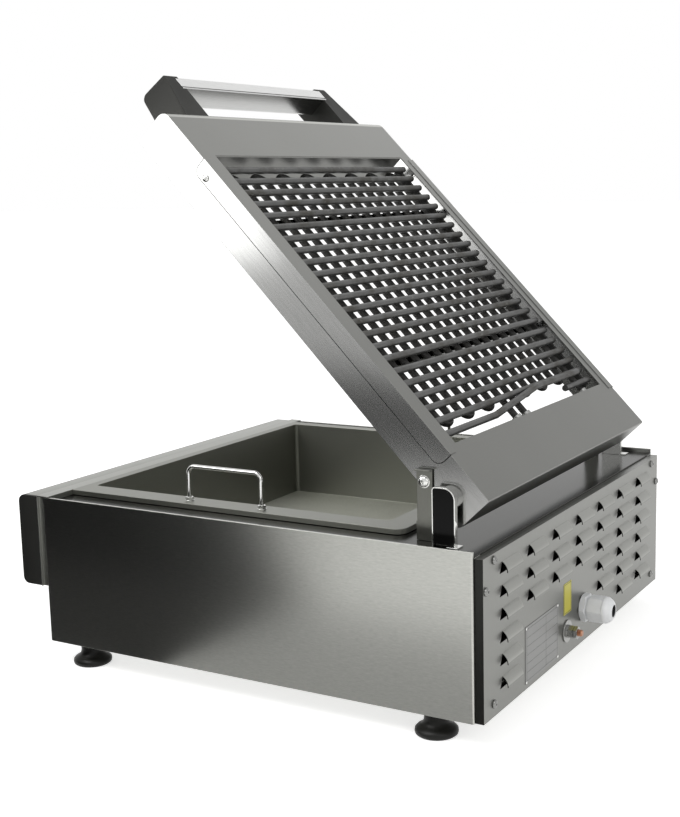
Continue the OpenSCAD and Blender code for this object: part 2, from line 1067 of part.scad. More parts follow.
module pan_handle_right() {
    pan_handle(grip_x[1]);
}

module pan_handle_left() {
    pan_handle(grip_x[0]);
}

module pan_handle_nuts() {
    color(bright)
        placed()
            grip_feet()
                translate([0, 0, flange_z])
                    difference() {
                        cylinder(h = nut_h, r = nut_r, $fn = 6);
                        translate([0, 0, -over])
                            cylinder(h = nut_h + 2 * over, r = wire_r);
                    }
}

// Hinge

pivot_y = rear_y - pivot_back;

// Outline of a hinge post seen from the side, drawn in by a margin
module post_outline(margin) {
    polygon(round_poly(
        rect_points(pivot_y - post_half + margin, pivot_y + post_half - margin,
                    deck_z, pivot_z + collar_r + sleeve_t / 2 - margin),
        [0, 0, post_rear_r - margin, post_front_r - margin]));
}

module hinge_post(side) {
    bore_r = spigot_r + bearing_gap;
    color(bright)
        placed()
            on_side(side)
                difference() {
                    union() {
                        difference() {
                            along_x(post_x, post_x + post_deep)
                                post_outline(0);
                            along_x(post_x + post_web, post_x + post_deep + over)
                                post_outline(post_rim);
                        }
                        rod_x(post_x, post_x + sleeve_len, pivot_y, pivot_z, bore_r + sleeve_t);
                        block(post_x, post_x + foot_tab_w, pivot_y + post_half - foot_tab_l / 2,
                              pivot_y + post_half + foot_tab_l / 2, deck_z, deck_z + sheet);
                    }
                    rod_x(post_x - over, post_x + sleeve_len + over, pivot_y, pivot_z, bore_r);
                }
}

module hinge_post_right() {
    hinge_post(1);
}

module hinge_post_left() {
    hinge_post(-1);
}

// Black cap that fills the post's channel and covers the bearing
module hinge_cap(side) {
    color(black)
        placed()
            on_side(side)
                difference() {
                    along_x(post_x + post_web, post_x + post_deep)
                        intersection() {
                            post_outline(post_rim);
                            polygon(rect_points(pivot_y - post_half, pivot_y + post_half,
                                                deck_z + sheet, pivot_z + 2 * collar_r));
                        }
                    rod_x(post_x, post_x + sleeve_len + run_gap, pivot_y, pivot_z,
                          spigot_r + bearing_gap + sleeve_t);
                }
}

module hinge_cap_right() {
    hinge_cap(1);
}

module hinge_cap_left() {
    hinge_cap(-1);
}

// Tube that carries the lid and leads its wires, clamped to the lid's side plate
module pivot_tube(side) {
    plate_x0 = lid_w / 2 - sheet;
    tip_x = post_x + sleeve_len;
    color(bright)
        on_lid()
            on_side(side)
                difference() {
                    union() {
                        rod_x(lid_w / 2, post_x - run_gap, pivot_u, pivot_up, collar_r);
                        rod_x(plate_x0, tip_x, pivot_u, pivot_up, spigot_r);
                        rod_x(plate_x0 - tube_flange_t, plate_x0, pivot_u, pivot_up, collar_r);
                    }
                    rod_x(plate_x0 - tube_flange_t - over, tip_x + over, pivot_u, pivot_up, tube_bore_r);
                }
}

module pivot_tube_right() {
    pivot_tube(1);
}

module pivot_tube_left() {
    pivot_tube(-1);
}

// Spring catch: an upright strip with a finger tab at its top
module catch(side) {
    x0 = lid_w / 2 + catch_gap;
    y0 = pivot_y - catch_front;
    z0 = deck_z + run_gap;
    top = pivot_z + catch_top;
    wide = (catch_step_w - catch_w) / 2;
    color(steel)
        placed()
            on_side(side)
                difference() {
                    union() {
                        block(x0, x0 + catch_t, y0, y0 + catch_w, z0, top);
                        block(x0, x0 + catch_t, y0 - wide, y0 + catch_w + wide, z0, z0 + catch_step_h);
                        block(x0, x0 + catch_tab, y0, y0 + catch_w, top - catch_t, top);
                        block(x0 - catch_foot, x0, y0, y0 + catch_w, z0, z0 + catch_t);
                    }
                    rod_x(x0 - over, x0 + catch_t + over, pivot_y - catch_hole_front, pivot_z + catch_hole_up,
                          catch_shank_r);
                }
}

module catch_right() {
    catch(1);
}

module catch_left() {
    catch(-1);
}

module catch_screw(side) {
    x0 = lid_w / 2 + catch_gap + catch_t;
    color(bright)
        placed()
            on_side(side)
                translate([x0, pivot_y - catch_hole_front, pivot_z + catch_hole_up])
                    rotate([0, 90, 0])
                        pan_screw(catch_screw_r, catch_screw_h, catch_shank_r, catch_t);
}

module catch_screw_right() {
    catch_screw(1);
}

module catch_screw_left() {
    catch_screw(-1);
}

// Lid

window_rear = rear_band;
window_front = lid_len - front_band;
rod_pitch = (window_front - window_rear - first_rod_in - last_rod_in) / (rod_count - 1);

// Side view of the lid frame, drawn in by a margin and open below
module lid_outline(margin) {
    low = margin > 0 ? -over : 0;
    polygon(round_poly(
        rect_points(margin, lid_len - margin, low, lid_t - margin),
        [margin > 0 ? 0 : lid_rear_r, 0, lid_bend_r - margin, bend_r - margin]));
}

module lid_frame() {
    color(steel)
        on_lid()
            difference() {
                union() {
                    difference() {
                        along_x(-lid_half, lid_half)
                            lid_outline(0);
                        along_x(-lid_half + sheet, lid_half - sheet)
                            lid_outline(sheet);
                        block(-lid_half + window_edge, lid_half - window_edge, window_rear, window_front,
                              lid_t / 2, lid_t + over);
                    }
                    block(-lid_half + window_edge, lid_half - window_edge, window_front - sheet, window_front,
                          lid_t - front_lip, lid_t - sheet / 2);
                }
                for (x = [-lid_half, lid_half]) {
                    rod_x(x - sheet - over, x + sheet + over, pivot_u, pivot_up, spigot_r);
                    rod_x(x - sheet - over, x + sheet + over,
                          lid_len - trim_screw_from_front, trim_screw_up, screw_shank_r);
                }
            }
}

// Places of the element's four cold ends
module cold_places() {
    for (s = [-1, 1], k = [0, leg_count - 1])
        translate([s * (k + 0.5) * leg_pitch, 0, 0])
            children();
}

// Closes the rear band from below and in front, around the element's ends
module terminal_cover() {
    x = lid_half - sheet;
    color(dark_steel)
        on_lid()
            difference() {
                union() {
                    block(-x, x, sheet, window_rear - sheet, cover_low, cover_low + sheet);
                    block(-x, x, window_rear - sheet, window_rear, cover_low, lid_t - sheet);
                }
                cold_places()
                    rod_y(window_rear - sheet - over, window_rear + over, 0, tube_up, ferrule_r - sheet);
                for (s = [-1, 1])
                    on_side(s)
                        rod_x(x - tube_flange_t - run_gap, x + over, pivot_u, pivot_up, collar_r + run_gap);
            }
}

// Cross-section of a side trim: side flange and top flange
module trim_section() {
    x = lid_half;
    polygon([
        [x, lid_t - trim_side],
        [x + trim_t, lid_t - trim_side],
        [x + trim_t, lid_t + trim_t],
        [x + trim_t - trim_top, lid_t + trim_t],
        [x + trim_t - trim_top, lid_t],
        [x, lid_t]
    ]);
}

module side_trim(side) {
    u0 = window_rear - trim_rear_lap;
    u1 = window_front - trim_front_lap;
    x = lid_half;
    color(steel)
        on_lid()
            on_side(side)
                difference() {
                    intersection() {
                        along_y(u0, u1)
                            trim_section();
                        along_x(x - trim_top - over, x + trim_t + over)
                            polygon(round_poly(
                                rect_points(u0, u1, lid_t - trim_side, lid_t + trim_t),
                                [trim_corner_r, trim_corner_r, 0, 0]));
                    }
                    rod_x(x - over, x + trim_t + over,
                          lid_len - trim_screw_from_front, trim_screw_up, screw_shank_r);
                }
}

module side_trim_right() {
    side_trim(1);
}

module side_trim_left() {
    side_trim(-1);
}

module trim_screws() {
    color(bright)
        on_lid()
            for (s = [-1, 1])
                translate([s * (lid_half + trim_t), lid_len - trim_screw_from_front, trim_screw_up])
                    rotate([0, s * 90, 0])
                        pan_screw(trim_screw_r, trim_screw_h, screw_shank_r, trim_t + sheet + over);
}

// Serpentine tube: legs along the lid, joined by half turns at alternating ends
module heating_element(side) {
    bend = leg_pitch / 2;
    front_u = window_front - front_bend_in - tube_d / 2 - bend;
    rear_u = window_rear + rear_bend_in + tube_d / 2 + bend;
    end_u = window_rear - cold_end;
    color(black)
        on_lid()
            on_side(side)
                translate([leg_pitch / 2, 0, tube_up]) {
                    for (k = [0:leg_count - 1]) {
                        is_end = k == 0 || k == leg_count - 1;
                        rod_y(is_end ? end_u : rear_u, front_u, k * leg_pitch, 0, tube_d / 2);
                    }
                    for (k = [0:leg_count - 2]) {
                        at_front = k % 2 == 0;
                        translate([(k + 0.5) * leg_pitch, at_front ? front_u : rear_u, 0])
                            rotate([0, 0, at_front ? 0 : 180])
                                rotate_extrude(angle = 180)
                                    translate([bend, 0])
                                        circle(d = tube_d);
                    }
                }
}

module heating_element_right() {
    heating_element(1);
}

module heating_element_left() {
    heating_element(-1);
}

// Threaded collars that hold the cold ends in the terminal cover
module element_ferrules() {
    u0 = window_rear - sheet - ferrule_in;
    color(bright)
        on_lid()
            cold_places()
                difference() {
                    union() {
                        rod_y(u0, window_rear + ferrule_in, 0, tube_up, ferrule_r - sheet);
                        rod_y(window_rear, u0 + ferrule_len, 0, tube_up, ferrule_r);
                        rod_y(u0, window_rear - sheet, 0, tube_up, ferrule_r);
                    }
                    rod_y(u0 - over, u0 + ferrule_len + over, 0, tube_up, tube_d / 2);
                }
}

// Half the width over the grate's side bars
grate_half = lid_half - window_edge - grate_gap;
// Level on which the grate's side bars lie
bar_up = rod_up - rod_d / 2 + weld - side_bar_h;

// Flat bars across the lid under the elements, with raised seats for the grate
module element_support() {
    x = lid_half - sheet;
    tube_low = tube_up - tube_d / 2;
    seat_x = grate_half - seat_w / 2 + side_bar_t;
    color(dark_steel)
        on_lid()
            for (share = support_share)
                translate([0, window_rear + share * (window_front - window_rear), 0]) {
                    block(-x, x, -bar_w / 2, bar_w / 2, tube_low - bar_t, tube_low);
                    for (s = [-seat_x, seat_x])
                        block(s - seat_w / 2, s + seat_w / 2, -bar_w / 2, bar_w / 2,
                              tube_low - over, bar_up - run_gap);
                }
}

// Handle

// Side view of a handle bracket in lid lengths
function bracket_points() = [
    [lid_len - bracket_heel, bracket_low],
    [lid_len + handle_out, bracket_low],
    [lid_len + handle_out * bracket_tip_share, bracket_top],
    [lid_len - bracket_heel, bracket_top - bracket_fall]
];

module handle_bracket(side) {
    inner_x = bracket_x - bracket_slant - bracket_t;
    color(black)
        on_lid()
            on_side(side)
                difference() {
                    along_x(inner_x, bracket_x)
                        difference() {
                            polygon(round_poly(bracket_points(), [0, bracket_toe_r, bracket_edge_r, 0]));
                            lid_outline(0);
                        }
                    // Slanted outer face, wider at the foot than at the tip
                    along_z(bracket_low - over, bracket_top + over)
                        polygon([
                            [bracket_x, lid_len],
                            [bracket_x + over, lid_len],
                            [bracket_x + over, lid_len + handle_out + over],
                            [bracket_x - bracket_slant, lid_len + handle_out + over],
                            [bracket_x - bracket_slant, lid_len + handle_out]
                        ]);
                    along_x(inner_x - over, inner_x + bar_seat)
                        bar_section();
                }
}

module handle_bracket_right() {
    handle_bracket(1);
}

module handle_bracket_left() {
    handle_bracket(-1);
}

// Rear face of the grip bar
bar_u = lid_len + handle_out - bar_back;

// Section of the grip bar in lid lengths
module bar_section() {
    polygon(round_poly(
        rect_points(bar_u, bar_u + bar_deep, bar_low, bracket_top),
        [bar_r, bar_r, bar_r, bar_rear_r]));
}

module handle_bar() {
    x = bracket_x - bracket_slant - bracket_t + bar_seat;
    groove_u = bar_u + bar_groove_in;
    color(bright)
        on_lid()
            difference() {
                along_x(-x, x)
                    bar_section();
                block(-x - over, x + over, groove_u, groove_u + bar_groove_w,
                      bracket_top - bar_groove_deep, bracket_top + over);
            }
}

// Grate

// Last rod and the line on which the bent rod starts
last_u = window_front - first_rod_in - (rod_count - 1) * rod_pitch;
lift_u = window_rear + lift_in;

module grate() {
    r = rod_d / 2;
    color(dark_steel)
        on_lid() {
            for (i = [0:rod_count - 1])
                rod_x(-grate_half, grate_half, last_u + i * rod_pitch, rod_up, r);
            for (s = [-1, 1])
                on_side(s)
                    block(grate_half - side_bar_t, grate_half, window_rear + side_bar_rear - rod_d,
                          window_front - first_rod_in + side_bar_front, bar_up, bar_up + side_bar_h);
            rod_x(-grate_half, -grate_half + stub_len, window_rear + stub_in, rod_up, r);
        }
}

// Bent rod for lifting the grate: it rises over the last rod and lies on it
module lifting_rod() {
    r = rod_d / 2;
    a = [grate_half * lift_near_share, lift_u, rod_up];
    b = [-grate_half * lift_far_share, last_u - lift_back, rod_up + lift_rise];
    d = b - a;
    tip_len = grate_half * (lift_end_share - lift_far_share);
    color(dark_steel)
        on_lid() {
            rod_x(a[0], grate_half - side_bar_t, a[1], a[2], r);
            translate(a)
                rotate([0, acos(d[2] / norm(d)), atan2(d[1], d[0])])
                    cylinder(h = norm(d), r = r);
            for (p = [a, b])
                translate(p)
                    sphere(r = r + knuckle);
            translate(b)
                rotate([0, -90, 0])
                    rotate_extrude()
                        polygon(round_poly(rect_points(0, r, 0, tip_len), [0, 0, r * tip_share, 0]));
        }
}

// Rear fittings

gland_z = base_z + gland_up;

module gland_body() {
    color(pale_steel)
        placed()
            difference() {
                union() {
                    rod_y(cover_y - gland_inside, cover_y, gland_x, gland_z, gland_thread_r);
                    translate([gland_x, cover_y, gland_z])
                        rotate([-90, 0, 0])
                            cylinder(h = gland_hex_t, r = gland_hex_r, $fn = 6);
                    rod_y(cover_y, cover_y + gland_hex_t + gland_neck_t, gland_x, gland_z, gland_neck_r);
                }
                rod_y(cover_y - gland_inside - over, cover_y + gland_hex_t + gland_neck_t + over,
                      gland_x, gland_z, gland_mouth_r);
            }
}

module gland_cap() {
    y0 = cover_y + gland_hex_t + gland_neck_t;
    len = gland_tip_y - y0;
    color([0.8, 0.81, 0.8])
        placed()
            difference() {
                union() {
                    turned_rear(y0, gland_x, gland_z)
                        polygon(round_poly(
                            [[gland_mouth_r, 0], [gland_cap_r, 0], [gland_cap_r, len], [gland_mouth_r, len]],
                            [0, 0, gland_dome_r, 0]));
                    for (i = [0:rib_count - 1])
                        translate([gland_x, y0, gland_z])
                            rotate([-90, 0, 0])
                                rotate([0, 0, i * 360 / rib_count])
                                    translate([gland_cap_r, 0, 0])
                                        cylinder(h = len / 2, r = rib_r);
                }
                rod_y(y0 - over, gland_tip_y - gland_lip, gland_x, gland_z, gland_seal_r);
            }
}

module gland_seal() {
    color([0.15, 0.15, 0.15])
        placed()
            difference() {
                rod_y(cover_y + gland_hex_t + gland_neck_t, gland_tip_y - gland_lip,
                      gland_x, gland_z, gland_seal_r);
                rod_y(cover_y, gland_tip_y, gland_x, gland_z, gland_bore_r);
            }
}

module gland_locknut() {
    color(pale_steel)
        placed()
            translate([gland_x, cover_y - sheet, gland_z])
                rotate([90, 0, 0])
                    difference() {
                        cylinder(h = gland_nut_t, r = gland_hex_r, $fn = 6);
                        translate([0, 0, -over])
                            cylinder(h = gland_nut_t + 2 * over, r = gland_thread_r);
                    }
}

stud_z = base_z + stud_up;

// Stud with a thicker root, on which its nut sits
module earth_stud() {
    color([0.72, 0.45, 0.3])
        placed() {
            rod_y(cover_y - stud_inside, cover_y + stud_len, stud_x, stud_z, stud_r);
            rod_y(cover_y - stud_inside, cover_y + washer_t + earth_nut_t, stud_x, stud_z, stud_root_r);
        }
}

// Washer and nut, pressed together
module earth_nut() {
    color(bright)
        placed()
            translate([stud_x, cover_y, stud_z])
                rotate([-90, 0, 0])
                    difference() {
                        union() {
                            cylinder(h = washer_t, r = washer_r);
                            translate([0, 0, washer_t])
                                cylinder(h = earth_nut_t, r = earth_nut_r, $fn = 6);
                        }
                        translate([0, 0, -over])
                            cylinder(h = washer_t + earth_nut_t + 2 * over, r = stud_root_r);
                    }
}

module rating_plate() {
    color(bright)
        placed()
            block(plate_x - plate_w / 2, plate_x + plate_w / 2, cover_y, cover_y + plate_t,
                  base_z + plate_up, base_z + plate_up + plate_h);
}

module yellow_label() {
    color([0.86, 0.82, 0.2])
        placed()
            block(label_x - label_w / 2, label_x + label_w / 2, cover_y, cover_y + label_t,
                  base_z + label_up, base_z + label_up + label_h);
}

side_panel_right();
side_panel_left();
front_panel();
bottom_plate();
top_deck();
front_fascia();
rear_cover();
rear_cover_screws();
control_panel();
knob_right();
knob_left();
regulator_right();
regulator_left();
regulator_shaft_right();
regulator_shaft_left();
pilot_lamp_green();
pilot_lamp_amber();
foot_front_right();
foot_front_left();
foot_rear_right();
foot_rear_left();
foot_bolts();
terminal_block();
water_pan();
pan_handle_right();
pan_handle_left();
pan_handle_nuts();
hinge_post_right();
hinge_post_left();
hinge_cap_right();
hinge_cap_left();
pivot_tube_right();
pivot_tube_left();
catch_right();
catch_left();
catch_screw_right();
catch_screw_left();
lid_frame();
terminal_cover();
side_trim_right();
side_trim_left();
trim_screws();
heating_element_right();
heating_element_left();
element_ferrules();
element_support();
handle_bracket_right();
handle_bracket_left();
handle_bar();
grate();
lifting_rod();
gland_body();
gland_cap();
gland_seal();
gland_locknut();
earth_stud();
earth_nut();
rating_plate();
yellow_label();
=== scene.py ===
import json
import math

import bmesh
import bpy
from mathutils import Matrix, Vector


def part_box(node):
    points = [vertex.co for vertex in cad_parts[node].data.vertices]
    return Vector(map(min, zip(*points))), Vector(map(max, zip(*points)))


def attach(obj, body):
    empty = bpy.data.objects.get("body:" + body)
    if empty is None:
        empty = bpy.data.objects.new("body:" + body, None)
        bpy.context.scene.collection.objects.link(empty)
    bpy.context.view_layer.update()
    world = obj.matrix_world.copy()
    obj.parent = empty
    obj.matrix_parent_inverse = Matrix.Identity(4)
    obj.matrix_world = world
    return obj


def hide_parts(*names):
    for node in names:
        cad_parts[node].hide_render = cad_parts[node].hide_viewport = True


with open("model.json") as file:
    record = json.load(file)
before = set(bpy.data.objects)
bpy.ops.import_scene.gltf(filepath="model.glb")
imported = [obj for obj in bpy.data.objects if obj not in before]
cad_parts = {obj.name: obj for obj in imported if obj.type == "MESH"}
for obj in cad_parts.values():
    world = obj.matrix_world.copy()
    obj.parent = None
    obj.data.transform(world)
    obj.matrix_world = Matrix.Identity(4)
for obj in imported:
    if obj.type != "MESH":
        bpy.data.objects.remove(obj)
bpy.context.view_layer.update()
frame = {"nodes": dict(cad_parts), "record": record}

scene = bpy.context.scene
cad = frame["nodes"]
MM = 0.001

# The lid stands open by this angle. Its pivot is at PIVOT, PIVOT_U forward of the lid's rear edge and
# PIVOT_N above its lower edge
OPEN_ANGLE = math.radians(46.1)
PIVOT = Vector((0, 0.242, 0.246))
PIVOT_U = 30 * MM
PIVOT_N = 14.7 * MM
LID_TURN = (-OPEN_ANGLE, 0, 0)
LID_FORWARD = Vector((0, -math.cos(OPEN_ANGLE), math.sin(OPEN_ANGLE)))
LID_UP = Vector((0, math.sin(OPEN_ANGLE), math.cos(OPEN_ANGLE)))


def lid_point(x, u, n):
    """A point of the lid in millimetres: x across, u forward from its rear edge, n above its lower edge."""
    return PIVOT + Vector((x * MM, 0, 0)) + LID_FORWARD * (u * MM - PIVOT_U) + LID_UP * (n * MM - PIVOT_N)


# Camera, and what places and ties pieces

# The photograph's view in degrees, and the lens's place right of, above and behind a target in
# millimetres
CAMERA_TURN, CAMERA_HEIGHT, CAMERA_ROLL = 120.84, 9.44, -1.47
CAMERA_TARGET = Vector((0, 6, 28))
CAMERA_RIGHT, CAMERA_UP, CAMERA_BACK = -34.6, 255.8, 1697.8
CAMERA_LENS = 70.32
CAMERA_NOD = -1.57 / 1328.3


def place_camera():
    """The camera, where the photograph's was."""
    turn, height, roll = (math.radians(a) for a in (CAMERA_TURN, CAMERA_HEIGHT, CAMERA_ROLL))
    level = Vector((math.cos(turn), math.sin(turn), 0))
    back = Vector((math.sin(turn) * math.cos(height), -math.cos(turn) * math.cos(height), math.sin(height)))
    upright = back.cross(level)
    right = math.cos(roll) * level + math.sin(roll) * upright
    up = -math.sin(roll) * level + math.cos(roll) * upright
    matrix = Matrix((right, up, back)).transposed().to_4x4()
    matrix.translation = (CAMERA_TARGET + CAMERA_RIGHT * right + CAMERA_UP * up + CAMERA_BACK * back) * MM
    data = bpy.data.cameras.new("photo_camera")
    data.sensor_fit = "HORIZONTAL"
    data.sensor_width = 36
    data.lens = CAMERA_LENS
    data.clip_start = 0.05
    camera = bpy.data.objects.new("photo_camera", data)
    camera.matrix_world = matrix @ Matrix.Rotation(CAMERA_NOD, 4, "X")
    scene.collection.objects.link(camera)
    scene.camera = camera


def link_object(name, mesh, materials=()):
    """A new object in the scene, at the origin."""
    piece = bpy.data.objects.new(name, mesh)
    scene.collection.objects.link(piece)
    for material in materials:
        mesh.materials.append(material)
    return piece


def shaded(mesh, angle=32):
    """Smooth shading that keeps edges sharper than an angle."""
    mesh.polygons.foreach_set("use_smooth", [True] * len(mesh.polygons))
    mesh.set_sharp_from_angle(angle=math.radians(angle))


def even_shading(piece):
    """Lets the large faces decide how the rounded edges between them are shaded."""
    weights = piece.modifiers.new("even_shading", "WEIGHTED_NORMAL")
    weights.mode = "FACE_AREA"
    weights.weight = 80
    weights.keep_sharp = True


def tie(piece, body, slot, *replaced):
    """Ties a piece to its body and hides the nodes that it stands for. slot is not used."""
    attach(piece, body)
    if replaced:
        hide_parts(*replaced)
    return piece


def finished(name, shape, finish, body, slot, *replaced, angle=32, even=True):
    """Turns a bmesh into a piece of one finish that rides on a body and may stand for nodes."""
    bmesh.ops.remove_doubles(shape, verts=shape.verts, dist=1e-6)
    bmesh.ops.recalc_face_normals(shape, faces=shape.faces)
    mesh = bpy.data.meshes.new(name)
    shape.to_mesh(mesh)
    shape.free()
    shaded(mesh, angle)
    piece = link_object(name, mesh, [finishes[finish]])
    if even:
        even_shading(piece)
    return tie(piece, body, slot, *replaced)


def pointing(place, direction, twist=0.0):
    """Matrix that turns local +Z to a direction and moves the origin to a place."""
    turn = Vector(direction).to_track_quat("Z", "Y").to_matrix().to_4x4()
    return Matrix.Translation(place) @ turn @ Matrix.Rotation(twist, 4, "Z")


def turned(profile, steps=48):
    """Spins a profile of (radius, height) in millimetres about local Z. It ends on the axis, or closes."""
    shape = bmesh.new()
    verts = [shape.verts.new((r * MM, 0, z * MM)) for r, z in profile]
    edges = [shape.edges.new(pair) for pair in zip(verts, verts[1:])]
    if profile[0][0] > 0:
        edges.append(shape.edges.new((verts[-1], verts[0])))
    bmesh.ops.spin(shape, geom=verts + edges, cent=(0, 0, 0), axis=(0, 0, 1), dvec=(0, 0, 0),
                   angle=2 * math.pi, steps=steps, use_merge=True, use_duplicate=False)
    bmesh.ops.remove_doubles(shape, verts=shape.verts, dist=1e-7)
    bmesh.ops.recalc_face_normals(shape, faces=shape.faces)
    return shape


def arc(radius, centre, start, end, steps=5):
    """Points of an arc in a profile, its angles in degrees."""
    angles = [math.radians(start + (end - start) * i / steps) for i in range(steps + 1)]
    return [(centre[0] + radius * math.cos(a), centre[1] + radius * math.sin(a)) for a in angles]


def moved(shape, matrix):
    """The same bmesh, transformed."""
    bmesh.ops.transform(shape, matrix=matrix, verts=shape.verts)
    return shape


def joined(*shapes):
    """One bmesh of several, which are used up."""
    whole = shapes[0]
    for other in shapes[1:]:
        mesh = bpy.data.meshes.new("part")
        other.to_mesh(mesh)
        other.free()
        whole.from_mesh(mesh)
        bpy.data.meshes.remove(mesh)
    return whole


def stamped(shape, places):
    """Copies of a bmesh at every place, in one bmesh."""
    mesh = bpy.data.meshes.new("stamp")
    shape.to_mesh(mesh)
    shape.free()
    whole = bmesh.new()
    for place in places:
        count = len(whole.verts)
        whole.from_mesh(mesh)
        whole.verts.ensure_lookup_table()
        bmesh.ops.transform(whole, matrix=place, verts=whole.verts[count:])
    bpy.data.meshes.remove(mesh)
    return whole


def flats(shape, across, count=6):
    """Cuts a turned blank flat on its sides, with a width across the flats in millimetres."""
    for i in range(count):
        angle = 2 * math.pi * i / count
        side = Vector((math.cos(angle), math.sin(angle), 0))
        cut = bmesh.ops.bisect_plane(shape, geom=shape.verts[:] + shape.edges[:] + shape.faces[:],
                                     dist=1e-7, plane_co=side * across / 2 * MM, plane_no=side,
                                     clear_outer=True)
        rim = [g for g in cut["geom_cut"] if isinstance(g, bmesh.types.BMEdge) and g.is_boundary]
        if rim:
            bmesh.ops.contextual_create(shape, geom=rim)
    return shape


def hexagon_nut(across, height, bore, low=0.0):
    """Nut with chamfered corners and a chamfered bore."""
    corner = across / math.sqrt(3)
    edge, chamfer, lead = across / 2 * 0.97, (corner - across / 2) * 0.6, 0.45
    return flats(turned([
        (bore, low + lead), (bore + lead, low), (edge, low), (corner, low + chamfer),
        (corner, low + height - chamfer), (edge, low + height), (bore + lead, low + height),
        (bore, low + height - lead),
    ]), across)


def carve(piece, cutter):
    """Cuts one mesh out of another for good."""
    tool = link_object("cutter", cutter)
    cut = piece.modifiers.new("cut", "BOOLEAN")
    cut.operation = "DIFFERENCE"
    cut.solver = "EXACT"
    cut.use_self = True
    cut.object = tool
    depsgraph = bpy.context.evaluated_depsgraph_get()
    mesh = bpy.data.meshes.new_from_object(piece.evaluated_get(depsgraph))
    bpy.data.objects.remove(piece)
    bpy.data.objects.remove(tool)
    return mesh


def cross_recess(reach, width, depth):
    """Cutter with two tapering arms, its floor at local -Z."""
    shape = bmesh.new()
    for angle in (0, math.pi / 2):
        arm = bmesh.ops.create_cube(shape, size=1)["verts"]
        bmesh.ops.scale(shape, vec=(2 * reach * MM, width * MM, 2 * depth * MM), verts=arm)
        floor = [v for v in arm if v.co.z < 0]
        bmesh.ops.scale(shape, vec=(0.35, 0.7, 1), verts=floor)
        bmesh.ops.rotate(shape, cent=(0, 0, 0), matrix=Matrix.Rotation(angle, 3, "Z"), verts=arm)
    return shape


def pan_head(radius, height):
    """Domed screw head with a cross recess, its seat at the origin."""
    ball = (radius * radius + height * height) / (2 * height)
    dome = [(radius * math.sin(t), height * (0.25 + 0.75 * math.cos(t)))
            for t in [math.pi / 2 * i / 7 for i in range(7, -1, -1)]]
    shape = turned([(0, 0), (radius * 0.97, 0)] + dome, 40)
    mesh = bpy.data.meshes.new("head")
    shape.to_mesh(mesh)
    shape.free()
    cutter = cross_recess(radius * 0.55, radius * 0.22, ball * 0.9 * 0.3)
    moved(cutter, Matrix.Translation((0, 0, height * MM)))
    tool = bpy.data.meshes.new("recess")
    cutter.to_mesh(tool)
    cutter.free()
    head = carve(link_object("head", mesh), tool)
    shape = bmesh.new()
    shape.from_mesh(head)
    bpy.data.meshes.remove(head)
    return shape


def ridged(root, crest, pitch, low, high):
    """Profile of a threaded rod from low to high, with a chamfered end."""
    count = int((high - low) / pitch)
    points = [(0, low), (root, low)]
    for i in range(count):
        points += [(crest, low + (i + 0.45) * pitch), (crest, low + (i + 0.55) * pitch),
                   (root, low + (i + 1) * pitch)]
    return points + [(root * 0.9, high), (0, high)]


# Material building

FIRST_COLOR, SECOND_COLOR = "6", "7"


class Nodes:
    """Builds the nodes of one material around its main shader."""

    def __init__(self, name):
        self.material = bpy.data.materials.new(name)
        self.material.use_nodes = True
        self.tree = self.material.node_tree
        self.shader = self.tree.nodes["Principled BSDF"]

    def add(self, kind, settings=None, **inputs):
        node = self.tree.nodes.new(kind)
        for key, value in (settings or {}).items():
            setattr(node, key, value)
        for key, value in inputs.items():
            self.put(node, key.replace("_", " "), value)
        return node

    def put(self, node, name, value):
        """Sets an input, given by its name or number, or links another node's output to it."""
        socket = node.inputs[int(name)] if name.isdigit() else node.inputs[name]
        if isinstance(value, bpy.types.NodeSocket):
            self.tree.links.new(value, socket)
        else:
            socket.default_value = value

    def set(self, **inputs):
        for key, value in inputs.items():
            self.put(self.shader, key.replace("_", " "), value)

    def spots(self, size, tilt=(0, 0, 0), detail=3.0, rough=0.55):
        """Noise in object coordinates with features of the given size in millimetres."""
        coordinates = self.add("ShaderNodeTexCoord")
        mapping = self.add("ShaderNodeMapping", {"vector_type": "TEXTURE"},
                           Vector=coordinates.outputs["Object"], Rotation=tilt,
                           Scale=[s * MM for s in size])
        noise = self.add("ShaderNodeTexNoise", Vector=mapping.outputs["Vector"],
                         Scale=1.0, Detail=detail, Roughness=rough)
        return noise.outputs["Fac"]

    def spread(self, value, low, high, start=0.3, end=0.7):
        """Maps a noise value to a range of numbers."""
        node = self.add("ShaderNodeMapRange", Value=value, From_Min=start, From_Max=end,
                        To_Min=low, To_Max=high)
        return node.outputs["Result"]

    def shades(self, value, dark, light, start=0.3, end=0.7):
        """Maps a noise value to a colour between two."""
        return self.blend(self.spread(value, 0, 1, start, end), (*dark, 1), (*light, 1))

    def blend(self, factor, first, second):
        """A colour between two, each of them a colour or another node's output."""
        node = self.add("ShaderNodeMix", {"data_type": "RGBA"}, Factor=factor)
        self.put(node, FIRST_COLOR, first)
        self.put(node, SECOND_COLOR, second)
        return node.outputs[2]

    def edges(self, low=0.52, high=0.62):
        """Share of wear on convex edges."""
        pointiness = self.add("ShaderNodeNewGeometry").outputs["Pointiness"]
        return self.spread(pointiness, 0, 1, low, high)

    def bump(self, value, height):
        """Turns a value into bumps whose height is in millimetres."""
        return self.add("ShaderNodeBump", Strength=1.0, Distance=height * MM, Height=value).outputs["Normal"]


def grey(value, warmth=0.06):
    """A grey with less blue by a share, the warmth."""
    return (value * (1 - warmth * 0.1), value, value * (1 - warmth))


